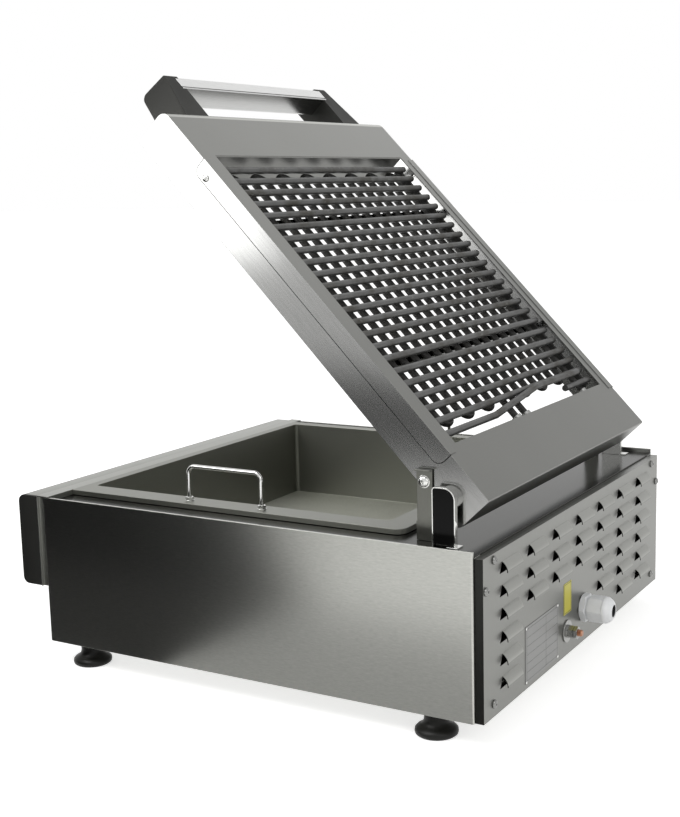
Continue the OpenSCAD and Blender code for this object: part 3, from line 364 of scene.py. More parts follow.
def brushed_steel(name, shade, rough, grain, tilt=(0, 0, 0), warmth=0.06, streak=0.06, depth=0.004,
                  smudge=0.05, sheen=1.0):
    """Sheet steel with a fine grain whose lines are long in one direction, and faint smudges of handling.
    streak and smudge are shares of the shade, and sheen is what is left of reflections at a low angle."""
    nodes = Nodes(name)
    fine = nodes.spots(grain, tilt, detail=4, rough=0.65)
    speck = nodes.spots([max(1.0, g * 0.35) for g in grain], tilt, detail=2)
    broad = nodes.spots((120, 150, 110), tilt, detail=3)

    def varied(value, swing):
        return nodes.shades(value, grey(shade * (1 - swing), warmth), grey(shade * (1 + swing), warmth))

    grained = nodes.blend(0.5, varied(fine, streak), varied(speck, streak))
    nodes.set(
        Base_Color=nodes.blend(0.4, grained, varied(broad, smudge)),
        Metallic=1.0,
        Specular_Tint=(sheen, sheen, sheen, 1),
        Roughness=rough,
        Normal=nodes.bump(fine, depth),
    )
    return nodes.material


def polished(name, color, rough):
    """Plated or polished metal with faint handling marks."""
    nodes = Nodes(name)
    marks = nodes.spots((9, 9, 9), detail=3)
    nodes.set(
        Base_Color=nodes.shades(marks, [c * 0.9 for c in color], color),
        Metallic=1.0,
        Roughness=nodes.spread(marks, rough * 0.9, rough * 1.15),
        Normal=nodes.bump(nodes.spots((2.5, 2.5, 2.5), detail=2), 0.001),
    )
    return nodes.material


def moulded(name, color, rough, texture=0.02, grain=0.7, coat=0.0, wear=0.25, gloss=0.5):
    """Moulded plastic or rubber with a fine surface texture and paler, rubbed edges."""
    nodes = Nodes(name)
    fine = nodes.spots((grain, grain, grain), detail=2)
    dust = nodes.spots((35, 35, 35), detail=4)
    base = nodes.shades(dust, [c * 0.85 for c in color], [c * 1.15 for c in color])
    rubbed = [min(1, c * (1 + wear) + 0.02 * wear) for c in color] + [1]
    nodes.set(
        Base_Color=nodes.blend(nodes.edges(), base, rubbed),
        Roughness=nodes.spread(dust, rough * 0.9, rough * 1.1),
        Normal=nodes.bump(fine, texture),
        Coat_Weight=coat,
        Specular_IOR_Level=gloss,
    )
    return nodes.material


def scoured_steel(name, shade, metal):
    """Sheet steel dulled by scouring and by water, with a faint tide mark of lime."""
    nodes = Nodes(name)
    cloth = nodes.spots((14, 3, 3), (0, 0, 0.5), detail=4)
    tide = nodes.spots((90, 130, 90), detail=5)
    nodes.set(
        Base_Color=nodes.shades(tide, grey(shade * 0.88, 0.16), grey(shade * 1.1, 0.12)),
        Metallic=metal,
        Roughness=nodes.spread(cloth, 0.5, 0.62),
        Normal=nodes.bump(cloth, 0.01),
    )
    return nodes.material


def heated_rod(name, shade, rough, brown):
    """Drawn steel rod, darkened by heat, with burnt patches and paler rubbed spots."""
    nodes = Nodes(name)
    drawn = nodes.spots((16, 0.7, 0.7), LID_TURN, detail=3)
    burnt = nodes.spots((38, 26, 26), LID_TURN, detail=5, rough=0.6)
    rubbed = nodes.spots((9, 5, 5), LID_TURN, detail=4)
    steel = nodes.shades(drawn, grey(shade * 0.86, 0.02), grey(shade * 1.14, 0.02))
    stained = nodes.blend(nodes.spread(burnt, 0, 0.8, 0.48, 0.72), steel, (*brown, 1))
    nodes.set(
        Base_Color=nodes.blend(nodes.spread(rubbed, 0, 0.5, 0.62, 0.74), stained,
                               (*grey(shade * 2.0), 1)),
        Metallic=0.85,
        Roughness=nodes.spread(burnt, rough, rough * 1.5),
        Normal=nodes.bump(drawn, 0.02),
    )
    return nodes.material


def heater_sheath(name):
    """Heating tube with a dark, matt oxide skin and chalky scale."""
    nodes = Nodes(name)
    skin = nodes.spots((1.4, 1.4, 1.4), LID_TURN, detail=4)
    scale = nodes.spots((22, 40, 22), LID_TURN, detail=5, rough=0.6)
    dark = nodes.shades(skin, (0.016, 0.016, 0.015), (0.034, 0.032, 0.029))
    nodes.set(
        Base_Color=nodes.blend(nodes.spread(scale, 0, 0.5, 0.55, 0.75), dark, (0.085, 0.078, 0.066, 1)),
        Metallic=0.2,
        Roughness=nodes.spread(skin, 0.42, 0.62),
        Normal=nodes.bump(skin, 0.05),
    )
    return nodes.material


finishes = {
    "side_steel": brushed_steel("side_steel", 0.42, 0.28, (1.6, 16, 1.5), streak=0.22, smudge=0,
                                depth=0.001),
    # Painted shade: near-black steel for the rear cover's folded ends, standing in for the shadow in the
    # gaps beside them.
    "painted_shade_edge_steel": brushed_steel("painted_shade_edge_steel", 0.025, 0.30, (1, 1, 20), streak=0.2),
    "top_steel": brushed_steel("top_steel", 0.36, 0.42, (20, 0.6, 0.6), streak=0.05),
    "deck_steel": brushed_steel("deck_steel", 0.09, 0.20, (24, 0.5, 0.5), streak=0.08, smudge=0.15,
                                sheen=0.76),
    "cover_steel": brushed_steel("cover_steel", 0.205, 0.34, (0.6, 0.6, 18)),
    # Painted light: the cover steel made paler for the upward faces of the louvres, for the light they
    # catch.
    "painted_light_hood_steel": brushed_steel("painted_light_hood_steel", 0.29, 0.34, (0.6, 0.6, 18)),
    "scoured_steel": scoured_steel("scoured_steel", 0.36, 0.5),
    "pan_steel": brushed_steel("pan_steel", 0.235, 0.40, (18, 0.7, 0.7), warmth=0.11, streak=0.05),
    "band_steel": brushed_steel("band_steel", 0.175, 0.36, (18, 0.6, 0.6), LID_TURN, streak=0.05),
    # Painted light: the band steel made paler for the lid's front band, for the light that falls on it.
    "painted_light_band_steel": brushed_steel("painted_light_band_steel", 0.37, 0.40, (0.6, 9, 9), LID_TURN, streak=0.05),
    "lid_side_steel": brushed_steel("lid_side_steel", 0.30, 0.18, (1.4, 60, 2.4), LID_TURN, warmth=0.02,
                                    streak=0.16, smudge=0, depth=0.0002),
    "rod_steel": heated_rod("rod_steel", 0.105, 0.40, (0.045, 0.040, 0.030)),
    "bright_steel": polished("bright_steel", grey(0.66, 0.03), 0.12),
    "screw_steel": polished("screw_steel", grey(0.24, 0.03), 0.20),
    "zinc_steel": polished("zinc_steel", grey(0.34, 0.03), 0.28),
    "catch_steel": brushed_steel("catch_steel", 0.16, 0.30, (2, 2, 14), warmth=0.10, streak=0.12,
                                 smudge=0.2),
    "bar_metal": brushed_steel("bar_metal", 0.47, 0.24, (34, 1.1, 1.1), LID_TURN, warmth=0.01, streak=0.12,
                               depth=0.0015),
    "copper": polished("copper", (0.36, 0.18, 0.11), 0.30),
    "brass": polished("brass", (0.60, 0.45, 0.18), 0.25),
    "plate_metal": brushed_steel("plate_metal", 0.25, 0.45, (16, 0.5, 0.5), warmth=0.02, streak=0.05),
    "plate_ink": moulded("plate_ink", (0.03, 0.03, 0.03), 0.5, 0.004, 1.0),
    "element_tube": heater_sheath("element_tube"),
    "black_plastic": moulded("black_plastic", (0.008, 0.008, 0.007), 0.50, 0.03, 0.8, wear=0.8,
                             gloss=0.15),
    "bracket_plastic": moulded("bracket_plastic", (0.020, 0.020, 0.018), 0.55, 0.05, 1.1, wear=0.8,
                               gloss=0.12),
    # Near-black plastic: the painted shadow strip under the side trims, and the rounded edges of the handle
    # brackets.
    "near_black_plastic": moulded("near_black_plastic", (0.003, 0.003, 0.003), 0.6, 0.02, 1.0, wear=0, gloss=0.05),
    "gloss_plastic": moulded("gloss_plastic", (0.002, 0.002, 0.002), 0.16, 0.002, 1.5, wear=0.3,
                             gloss=0.08),
    "black_rubber": moulded("black_rubber", (0.006, 0.006, 0.005), 0.40, 0.02, 0.9, wear=0.6,
                            gloss=0.2),
    "grey_plastic": moulded("grey_plastic", (0.82, 0.83, 0.84), 0.34, 0.010, 0.8, wear=0.05),
    "white_print": moulded("white_print", (0.78, 0.78, 0.76), 0.5, 0.004, 0.6, wear=0.05),
    "seal_rubber": moulded("seal_rubber", (0.02, 0.02, 0.02), 0.6, 0.02, 0.8, gloss=0.3),
    "ceramic": moulded("ceramic", (0.62, 0.60, 0.54), 0.35, 0.008, 1.5, wear=0.1),
    "label_film": moulded("label_film", (0.52, 0.47, 0.035), 0.40, 0.004, 2.0, wear=0.1),
    "lens_green": moulded("lens_green", (0.02, 0.30, 0.06), 0.10, 0.002, 2.0, coat=0.6),
    "lens_amber": moulded("lens_amber", (0.60, 0.22, 0.02), 0.10, 0.002, 2.0, coat=0.6),
}

# The finish of each node, also where a refined piece stands for it
node_finish = {
    "side_steel": "side_panel_right side_panel_left front_panel bottom_plate",
    "top_steel": "front_fascia",
    "catch_steel": "catch_right catch_left",
    "deck_steel": "top_deck terminal_cover element_support",
    "cover_steel": "rear_cover",
    "pan_steel": "water_pan",
    "band_steel": "lid_frame side_trim_right side_trim_left",
    "rod_steel": "grate lifting_rod",
    "bright_steel": "rear_cover_screws trim_screws catch_screw_right catch_screw_left pan_handle_right "
                    "pan_handle_left pan_handle_nuts hinge_post_right hinge_post_left pivot_tube_right "
                    "pivot_tube_left",
    "zinc_steel": "foot_bolts regulator_shaft_right regulator_shaft_left element_ferrules earth_nut",
    "bar_metal": "handle_bar",
    "copper": "earth_stud",
    "plate_metal": "rating_plate",
    "element_tube": "heating_element_right heating_element_left",
    "gloss_plastic": "hinge_cap_right hinge_cap_left",
    "black_plastic": "control_panel knob_right knob_left",
    "bracket_plastic": "handle_bracket_right handle_bracket_left",
    "black_rubber": "foot_front_right foot_front_left foot_rear_right foot_rear_left",
    "grey_plastic": "gland_body gland_cap gland_locknut",
    "seal_rubber": "gland_seal",
    "ceramic": "terminal_block regulator_right regulator_left",
    "label_film": "yellow_label",
    "lens_green": "pilot_lamp_green",
    "lens_amber": "pilot_lamp_amber",
}
node_slot = {entry["node"]: entry["material_slot"] for entry in frame["record"]["subparts"]}
node_body = {name: body for body, names in frame["record"]["behaviour"]["bodies"].items()
             for name in names}
finish_of = {name: finish for finish, names in node_finish.items() for name in names.split()}
for name, finish in finish_of.items():
    mesh = cad[name].data
    mesh.materials.clear()
    mesh.materials.append(finishes[finish])


# Sheet parts and mouldings: copies of the solids with rounded edges

def rounded(node, width, segments=2, angle=34, finish_by=None, edge_finish=None, keep_off=False):
    """A copy of a node with its edges rounded by a width in millimetres. finish_by names the finish of a
    face, and edge_finish that of the rounded edges, where it isn't the node's own. keep_off narrows an
    edge that would run into its neighbours."""
    shape = bmesh.new()
    shape.from_mesh(cad[node].data)
    bmesh.ops.remove_doubles(shape, verts=shape.verts, dist=2e-6)
    bmesh.ops.dissolve_limit(shape, angle_limit=math.radians(0.6), verts=shape.verts, edges=shape.edges)
    sharp = [e for e in shape.edges if e.is_manifold and e.calc_face_angle() > math.radians(angle)]
    made = bmesh.ops.bevel(shape, geom=sharp, offset=width * MM, offset_type="OFFSET", affect="EDGES",
                           segments=segments, profile=0.5, material=-1, clamp_overlap=keep_off)
    edging = set(made["faces"])
    used = [finish_of[node]]
    for face in shape.faces:
        name = finish_by(face) if finish_by else used[0]
        if edge_finish and face in edging:
            name = edge_finish
        if name not in used:
            used.append(name)
        face.material_index = used.index(name)
    mesh = bpy.data.meshes.new(node + "_formed")
    shape.to_mesh(mesh)
    shape.free()
    shaded(mesh, 50)
    piece = link_object(node + "_formed", mesh, [finishes[name] for name in used])
    even_shading(piece)
    return tie(piece, node_body[node], node_slot[node], node)


# The plane of the rear cover, where the lid's front band starts, and the top of the pan's floor
COVER_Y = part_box("rating_plate")[0][1]
FRONT_BAND_U = 486
PAN_FLOOR_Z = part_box("water_pan")[0][2] + 6 * MM


def lid_finish(face):
    """The lid's sides, the band at its front and the rest of it are lit by different streaks. The front band
    is also painted paler than the rest of the band, a painted light.
    """
    if abs(face.normal.x) > 0.8:
        return "lid_side_steel"
    forward = (face.calc_center_median() - PIVOT).dot(LID_FORWARD) / MM + PIVOT_U / MM
    # Painted light: the lid's front band gets the paler steel.
    if forward > FRONT_BAND_U and face.normal.dot(LID_UP) > 0.5:
        return "painted_light_band_steel"
    return "band_steel"


def cover_finish(face):
    """The cover's folded ends get near-black steel, a painted shade for the shadowed gaps beside them, and
    the upward faces of its louvres a paler steel than its face, a painted light.
    """
    if abs(face.normal.x) > 0.8:
        return "painted_shade_edge_steel"
    # Painted light: upward faces of the louvres get the paler steel.
    lit_hood_face = face.normal.z > 0.12 and face.calc_center_median().y > COVER_Y + 0.1 * MM
    return "painted_light_hood_steel" if lit_hood_face else "cover_steel"


def pan_finish(face):
    """The pan's floor is dulled by scouring."""
    low = face.calc_center_median().z < PAN_FLOOR_Z
    return "scoured_steel" if low and face.normal.z > 0.8 else "pan_steel"


def sheet_parts():
    """Rounded copies of the sheet parts and mouldings, each standing for its node."""
    for side in ("right", "left"):
        rounded(f"side_panel_{side}", 0.35)
        rounded(f"side_trim_{side}", 0.3, finish_by=lid_finish)
        rounded(f"hinge_post_{side}", 0.3)
        rounded(f"hinge_cap_{side}", 0.6)
        rounded(f"catch_{side}", 0.3)
        rounded(f"handle_bracket_{side}", 1.0, 3, edge_finish="near_black_plastic", keep_off=True)
        rounded(f"regulator_{side}", 0.4)
    for name in ("front_panel", "bottom_plate", "top_deck", "terminal_cover"):
        rounded(name, 0.25)
    rounded("front_fascia", 0.4)
    rounded("rear_cover", 0.3, finish_by=cover_finish)
    rounded("water_pan", 0.4, finish_by=pan_finish)
    rounded("element_support", 0.4)
    rounded("control_panel", 0.8)
    rounded("handle_bar", 0.25, keep_off=True)
    rounded("terminal_block", 0.4)
    rounded("lid_frame", 0.35, finish_by=lid_finish)


# Sizes of the painted shadow strip under each side trim's edge.
SHADOW_STRIP_WIDTH = 0.9 * MM
SHADOW_STRIP_LAP = 0.3
SHADOW_STRIP_THICKNESS = 0.12 * MM
SHADOW_STRIP_DEPTH = 0.8 * MM


def trim_seams():
    """Painted shadow: a thin near-black strip round each side trim, where its edge meets the lid, standing
    in for the shadow under the trim's edge. There is none along the lid's top.
    """
    for side, s in (("right", 1), ("left", -1)):
        trim = bmesh.new()
        trim.from_mesh(cad[f"side_trim_{side}"].data)
        bmesh.ops.remove_doubles(trim, verts=trim.verts, dist=2e-6)
        bmesh.ops.recalc_face_normals(trim, faces=trim.faces)
        outer = max(v.co.x * s for v in trim.verts)
        sheet = [f for f in trim.faces
                 if f.normal.x * s > 0.9 and f.calc_center_median().x * s > outer - 0.1 * MM]
        rim, ways = [], {}
        for loop in (loop for face in sheet for loop in face.loops):
            start, end = loop.vert, loop.link_loop_next.vert
            way = (end.co - start.co).normalized().cross(loop.face.normal)
            if sum(f in sheet for f in loop.edge.link_faces) == 1 and way.dot(LID_UP) <= 0.7:
                rim.append((start, end))
                ways.setdefault(start, []).append(way)
                ways.setdefault(end, []).append(way)
        shadow_strip = bmesh.new()
        near, far = {}, {}
        for vert, found in ways.items():
            mean = sum(found, Vector()).normalized()
            reach = SHADOW_STRIP_WIDTH / max(0.4, mean.dot(found[0]))
            spot = vert.co - Vector((s * SHADOW_STRIP_DEPTH, 0, 0))
            near[vert] = shadow_strip.verts.new(spot - mean * SHADOW_STRIP_WIDTH * SHADOW_STRIP_LAP)
            far[vert] = shadow_strip.verts.new(spot + mean * reach)
        for start, end in rim:
            shadow_strip.faces.new((near[end], near[start], far[start], far[end]))
        bmesh.ops.solidify(shadow_strip, geom=shadow_strip.faces[:], thickness=SHADOW_STRIP_THICKNESS)
        trim.free()
        finished(f"trim_painted_shadow_{side}", shadow_strip, "near_black_plastic", "lid", node_slot[f"side_trim_{side}"],
                 even=False)


# Screws, nuts and studs

REARWARD = Vector((0, 1, 0))
RIGHTWARD = Vector((1, 0, 0))
UPWARD = Vector((0, 0, 1))
FORWARD = Vector((0, -1, 0))

# Millimetres: the cover's screws on one side (x, z), and a trim's screw (x, u, n)
COVER_SCREWS = [(250, 191), (252, 42), (270, 164)]
TRIM_SCREW = (242, 462, 35)
CATCH_SCREW = Vector((0.244, 0.216, 0.262))
GRIP_NUT_INSET = 4.76 * MM


def centre_of(node):
    """The middle of a node's box."""
    low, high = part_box(node)
    return (Vector(low) + Vector(high)) / 2


def screws():
    """Heads of the screws on the cover, the trims and the catches."""
    places = [pointing((s * x * MM, COVER_Y, z * MM), REARWARD, 0.5 * i + s)
              for s in (-1, 1) for i, (x, z) in enumerate(COVER_SCREWS)]
    finished("rear_cover_screw_heads", stamped(pan_head(4.6, 3.3), places), "screw_steel",
             "base", "bright_steel", "rear_cover_screws")
    x, u, n = TRIM_SCREW
    places = [pointing(lid_point(s * x, u, n), RIGHTWARD * s, 0.6) for s in (-1, 1)]
    finished("trim_screw_heads", stamped(pan_head(4.0, 2.5), places), "bright_steel",
             "lid", "bright_steel", "trim_screws")
    for side, s in (("right", 1), ("left", -1)):
        place = Vector((s * CATCH_SCREW.x, CATCH_SCREW.y, CATCH_SCREW.z))
        washer = turned([(3, 0), (6.7, 0), (6.7, 0.7), (6.3, 0.9), (3, 0.9)])
        head = moved(pan_head(5.8, 3.0), Matrix.Translation((0, 0, 0.9 * MM)))
        finished(f"catch_screw_head_{side}",
                 moved(joined(washer, head), pointing(place, RIGHTWARD * s, 0.4)),
                 "bright_steel", f"catch_strip_{side}", "bright_steel", f"catch_screw_{side}")


def pan_grip_nuts():
    """Flanged nuts on the feet of the pan's two wire handles."""
    low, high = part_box("pan_handle_nuts")
    xs = [centre_of(f"pan_handle_{side}").x for side in ("right", "left")]
    reach = (high[1] - low[1]) / 2 - GRIP_NUT_INSET
    middle = (high[1] + low[1]) / 2
    places = [pointing((x, middle + s * reach, low[2]), UPWARD, 0.3 * s) for x in xs for s in (-1, 1)]
    washer = turned([(2.5, 0), (5.3, 0), (5.3, 0.6), (5.0, 0.9), (2.5, 0.9)])
    finished("pan_handle_nut_set", stamped(joined(washer, hexagon_nut(8.6, 3.5, 2.5, 0.9)), places),
             "bright_steel", "base", "bright_steel", "pan_handle_nuts")


def earth_point():
    """Stud with turned ridges, its washers and its two nuts."""
    stud = centre_of("earth_stud")
    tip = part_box("earth_stud")[1][1]
    place = pointing((stud.x, COVER_Y, stud.z), REARWARD)
    length = (tip - COVER_Y) / MM
    finished("earth_stud_thread", moved(turned(ridged(3.3, 3.95, 1.25, -8, length)), place),
             "copper", "base", "copper", "earth_stud")
    washer = turned([(4.2, 0), (12.8, 0), (13, 0.3), (13, 1.3), (12.7, 1.6), (4.2, 1.6)])
    spring = turned([(4.2, 1.6), (7.4, 1.6), (7.4, 2.9), (7.1, 3.1), (4.2, 3.1)])
    nut = hexagon_nut(12.9, 6.3, 4.0, 3.1)
    lock = hexagon_nut(12.9, 4.4, 4.0, 9.6)
    finished("earth_nuts_and_washers", moved(joined(washer, spring, nut, lock), place), "zinc_steel",
             "base", "zinc_steel", "earth_nut")


GLAND_FLATS = 30
GLAND_TWIST = math.radians(30)


def cable_gland():
    """Nylon gland: hexagon base, ribbed neck, hexagon cap with a dome, seal with a lip."""
    gland = centre_of("gland_seal")
    place = pointing((gland.x, COVER_Y, gland.z), REARWARD, GLAND_TWIST)
    length = (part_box("gland_cap")[1][1] - COVER_Y) / MM
    base = hexagon_nut(GLAND_FLATS, 7.5, 9)
    neck = turned([(9, 7.5), (12.6, 7.5), (12.0, 8.3), (12.6, 9.5), (9, 9.5)])
    thread = turned([(9, -8)] + ridged(11.6, 12.3, 1.5, -8, 0)[1:-2] + [(11.6, 0), (9, 0)])
    finished("gland_base", moved(joined(base, neck, thread), place), "grey_plastic",
             "base", "grey_plastic", "gland_body")
    crown = length - 11.5
    grip = flats(turned([(9, 9.6), (15.0, 9.6), (16.1, 10.5), (16.1, crown), (9, crown)]), 28)
    dome = turned([(9, crown), (14.6, crown), (15.5, crown + 0.7), (15.6, crown + 2.0),
                   (15.2, crown + 4.2)]
                  + arc(10.2, (5.0, crown + 1.2), 28, 74, 6)
                  + [(7.7, length - 0.25), (7.2, length - 0.8), (7.2, length - 2.4), (9, length - 2.6)])
    finished("gland_cap_domed", moved(joined(grip, dome), place), "grey_plastic",
             "base", "grey_plastic", "gland_cap")
    seal = turned([(6.5, 10), (8.9, 10), (8.9, length - 2.7), (7.5, length - 1.4), (6.9, length - 1.2),
                   (6.5, length - 2.0)])
    finished("gland_seal_lipped", moved(seal, place), "seal_rubber",
             "base", "seal_rubber", "gland_seal")
    inside = pointing((gland.x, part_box("gland_locknut")[0][1], gland.z), REARWARD, GLAND_TWIST)
    finished("gland_locknut_cut", moved(hexagon_nut(GLAND_FLATS, 5, 12.4), inside), "grey_plastic",
             "base", "grey_plastic", "gland_locknut")


def feet():
    """Rubber feet with a flared skirt, and the bolts that hold them."""
    skirt = [(8, 0), (20.5, 0), (22.4, 1.4), (23, 3.6), (22.6, 6.2), (20.6, 8.3), (17.8, 9.8), (15.2, 11.6),
             (13.6, 14.2), (13.0, 17.5), (13.0, 28), (3.2, 28), (3.2, 12), (8, 12), (8, 1)]
    places = []
    for name in ("foot_front_right", "foot_front_left", "foot_rear_right", "foot_rear_left"):
        middle = centre_of(name)
        places.append(Matrix.Translation((middle.x, middle.y, 0)))
        finished(name + "_skirted", moved(turned(skirt, 56), places[-1]), "black_rubber",
                 "base", "black_rubber", name, angle=50)
    head = flats(turned([(0, 8.2), (5.0, 8.2), (5.6, 8.8), (5.6, 12), (0, 12)]), 9.8)
    shank = turned(ridged(2.5, 2.95, 1.0, 12, 36.5), 24)
    finished("foot_bolt_set", stamped(joined(head, shank, hexagon_nut(10, 5, 3.0, 31)), places),
             "zinc_steel", "base", "zinc_steel", "foot_bolts")


# Controls

FLUTES = 24
FLUTE_DEPTH = 0.5 * MM


def soft_edges(shape, edges, width, segments):
    """Rounds some edges of a bmesh by a width."""
    bmesh.ops.bevel(shape, geom=edges, offset=width, offset_type="OFFSET", affect="EDGES",
                    segments=segments, profile=0.5, material=-1, clamp_overlap=True)


def knobs():
    """Moulded knobs: a fluted skirt, a tapering grip with rounded ends, and a white pointer line."""
    for side in ("right", "left"):
        middle = centre_of(f"knob_{side}")
        place = pointing((middle.x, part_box(f"knob_{side}")[1][1], middle.z), FORWARD)
        skirt = turned([(3, 0), (20.2, 0), (20.8, 0.7), (20.8, 3.6), (20.2, 4.6), (17.2, 5.4), (16.6, 6.6),
                        (16.2, 7.2), (3, 7.2)], 72)
        for vert in skirt.verts:
            radius = math.hypot(vert.co.x, vert.co.y)
            if radius > 20 * MM:
                angle = math.atan2(vert.co.y, vert.co.x)
                inset = FLUTE_DEPTH * (0.5 - 0.5 * math.cos(FLUTES * angle))
                vert.co.x *= 1 - inset / radius
                vert.co.y *= 1 - inset / radius
        grip = bmesh.new()
        bmesh.ops.create_cube(grip, size=1)
        bmesh.ops.scale(grip, vec=(13 * MM, 32 * MM, 13 * MM), verts=grip.verts)
        bmesh.ops.translate(grip, vec=(0, 0, 13.4 * MM), verts=grip.verts)
        top = [v for v in grip.verts if v.co.z > 15 * MM]
        bmesh.ops.scale(grip, vec=(0.62, 0.93, 1), verts=top)
        soft_edges(grip, grip.edges[:], 2.2 * MM, 4)
        finished(f"knob_{side}_moulded", moved(joined(skirt, grip), place), "black_plastic",
                 f"knob_dial_{side}", "black_plastic", f"knob_{side}")
        line = bmesh.new()
        bmesh.ops.create_cube(line, size=1)
        bmesh.ops.scale(line, vec=(1.4 * MM, 11 * MM, 0.5 * MM), verts=line.verts)
        bmesh.ops.translate(line, vec=(0, 8.2 * MM, 19.7 * MM), verts=line.verts)
        soft_edges(line, line.edges[:], 0.12 * MM, 2)
        finished(f"knob_{side}_pointer", moved(line, place), "white_print",
                 f"knob_dial_{side}", "black_plastic")


DIAL_SWEEP = math.radians(270)
DIAL_STEPS = 36
DIAL_NUMBERS = 10
TICK_INNER = 23.5
NUMBER_RING = 31 * MM


def digit_mesh(digit):
    """The mesh of one printed number, lying flat."""
    text = bpy.data.curves.new("digit", "FONT")
    text.body = str(digit)
    text.size = 6.5 * MM
    text.extrude = 0.08 * MM
    text.align_x = "CENTER"
    text.align_y = "CENTER"
    holder = link_object("digit", text)
    depsgraph = bpy.context.evaluated_depsgraph_get()
    mesh = bpy.data.meshes.new_from_object(holder.evaluated_get(depsgraph))
    bpy.data.objects.remove(holder)
    return mesh


def dial_prints():
    """Printed ticks and numbers from 0 to 9 round each knob, from the top in the turning direction."""
    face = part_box("control_panel")[0][1]
    for side in ("right", "left"):
        middle = centre_of(f"knob_{side}")
        whole = bmesh.new()
        for i in range(DIAL_STEPS + 1):
            angle = DIAL_SWEEP * i / DIAL_STEPS
            length, width = (3.2, 0.7) if i % 4 == 0 else (1.6, 0.4)
            tick = bmesh.ops.create_cube(whole, size=1)["verts"]
            bmesh.ops.scale(whole, vec=(width * MM, 0.16 * MM, length * MM), verts=tick)
            bmesh.ops.translate(whole, vec=(0, 0, (TICK_INNER + length / 2) * MM), verts=tick)
            bmesh.ops.rotate(whole, cent=(0, 0, 0), matrix=Matrix.Rotation(angle, 3, "Y"), verts=tick)
        bmesh.ops.translate(whole, vec=(middle.x, face, middle.z), verts=whole.verts)
        for i in range(DIAL_NUMBERS):
            angle = DIAL_SWEEP * i / (DIAL_NUMBERS - 1)
            spot = Vector((middle.x + NUMBER_RING * math.sin(angle), face,
                           middle.z + NUMBER_RING * math.cos(angle)))
            mesh = digit_mesh(i)
            mesh.transform(Matrix.Translation(spot) @ Matrix.Rotation(math.pi / 2, 4, "X"))
            whole.from_mesh(mesh)
            bpy.data.meshes.remove(mesh)
        finished(f"dial_print_{side}", whole, "white_print", "base", "black_plastic", even=False)


def pilot_lamps():
    """Lamp lenses with a stepped dome, each in a black bezel."""
    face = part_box("control_panel")[0][1]
    for name in ("green", "amber"):
        node = f"pilot_lamp_{name}"
        middle = centre_of(node)
        place = pointing((middle.x, face, middle.z), FORWARD)
        deep = (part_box(node)[1][1] - face) / MM
        lens = [(0, -deep), (6.0, -deep), (6.3, -deep + 0.5), (6.3, 0.2), (6.0, 1.6), (5.8, 2.6)]
        lens += arc(6.2, (0, -1.2), 52, 90, 7)[1:-1] + [(0, 5.0)]
        finished(f"lamp_lens_{name}", moved(turned(lens), place), f"lens_{name}",
                 "base", node_slot[node], node)
        bezel = turned([(6.35, 0), (7.9, 0), (7.9, 1.0), (7.4, 1.7), (6.6, 1.8), (6.35, 1.4)])
        finished(f"lamp_bezel_{name}", moved(bezel, place), "black_plastic",
                 "base", "black_plastic")


POLES = 5


def terminal_screws():
    """Brass clamp screws in the poles of the terminal block."""
    low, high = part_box("terminal_block")
    step = (high[0] - low[0]) / POLES
    places = [Matrix.Translation((low[0] + (i + 0.5) * step, (low[1] + high[1]) / 2, high[2] - 5 * MM))
              for i in range(POLES)]
    finished("terminal_screws", stamped(pan_head(2.9, 1.6), places), "brass", "base", "zinc_steel")


def small_block(shape, low, high, rounding=0.0):
    """Adds a block between two corners, its edges rounded by millimetres."""
    verts = bmesh.ops.create_cube(shape, size=1)["verts"]
    bmesh.ops.scale(shape, vec=[b - a for a, b in zip(low, high)], verts=verts)
    bmesh.ops.translate(shape, vec=[(a + b) / 2 for a, b in zip(low, high)], verts=verts)
    if rounding:
        soft_edges(shape, list(dict.fromkeys(e for v in verts for e in v.link_edges)), rounding * MM, 2)


STRIP_INSET = 2.5 * MM
STRIP_SETBACK = 9 * MM


def panel_strip():
    """Steel strip laid on the control panel's top, up to its front rounding."""
    low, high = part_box("control_panel")
    shape = bmesh.new()
    small_block(shape, (low[0] + STRIP_INSET, low[1] + STRIP_SETBACK, high[2] - 0.2 * MM),
                (high[0] - STRIP_INSET, high[1], high[2] + 0.35 * MM), 0.15)
    finished("panel_strip", shape, "top_steel", "base", node_slot["front_fascia"], even=False)


# Plates, welds and rivets

INK_PROUD = 0.06 * MM
RIVET_INSET = 1.9 * MM


def blank_plate():
    """Blank plate with ruled boxes and rivets."""
    low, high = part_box("rating_plate")
    plate = bmesh.new()
    small_block(plate, low, high, 0.15)
    finished("rating_plate_blank", plate, "plate_metal", "base", "plate_metal", "rating_plate")
    rules = bmesh.new()
    face = high[1]
    margin, half_line, rows, column = 3.2 * MM, 0.175 * MM, 6, 0.38
    left, right, base, top = low[0] + margin, high[0] - margin, low[2] + margin, high[2] - margin
    near, far = face - INK_PROUD, face + INK_PROUD
    for i in range(rows + 1):
        z = base + (top - base) * i / rows
        small_block(rules, (left, near, z - half_line), (right, far, z + half_line))
    for x in (left, left + (right - left) * column, right):
        small_block(rules, (x - half_line, near, base), (x + half_line, far, top))
    finished("rating_plate_rules", rules, "plate_ink", "base", "plate_metal", even=False)
    rivet = turned([(0, 0), (1.6, 0), (1.5, 0.4), (1.0, 0.7), (0, 0.85)], 20)
    places = [pointing((x, face - 0.05 * MM, z), REARWARD)
              for x in (low[0] + RIVET_INSET, high[0] - RIVET_INSET)
              for z in (low[2] + RIVET_INSET, high[2] - RIVET_INSET)]
    finished("rating_plate_rivets", stamped(rivet, places), "bright_steel", "base", "bright_steel")


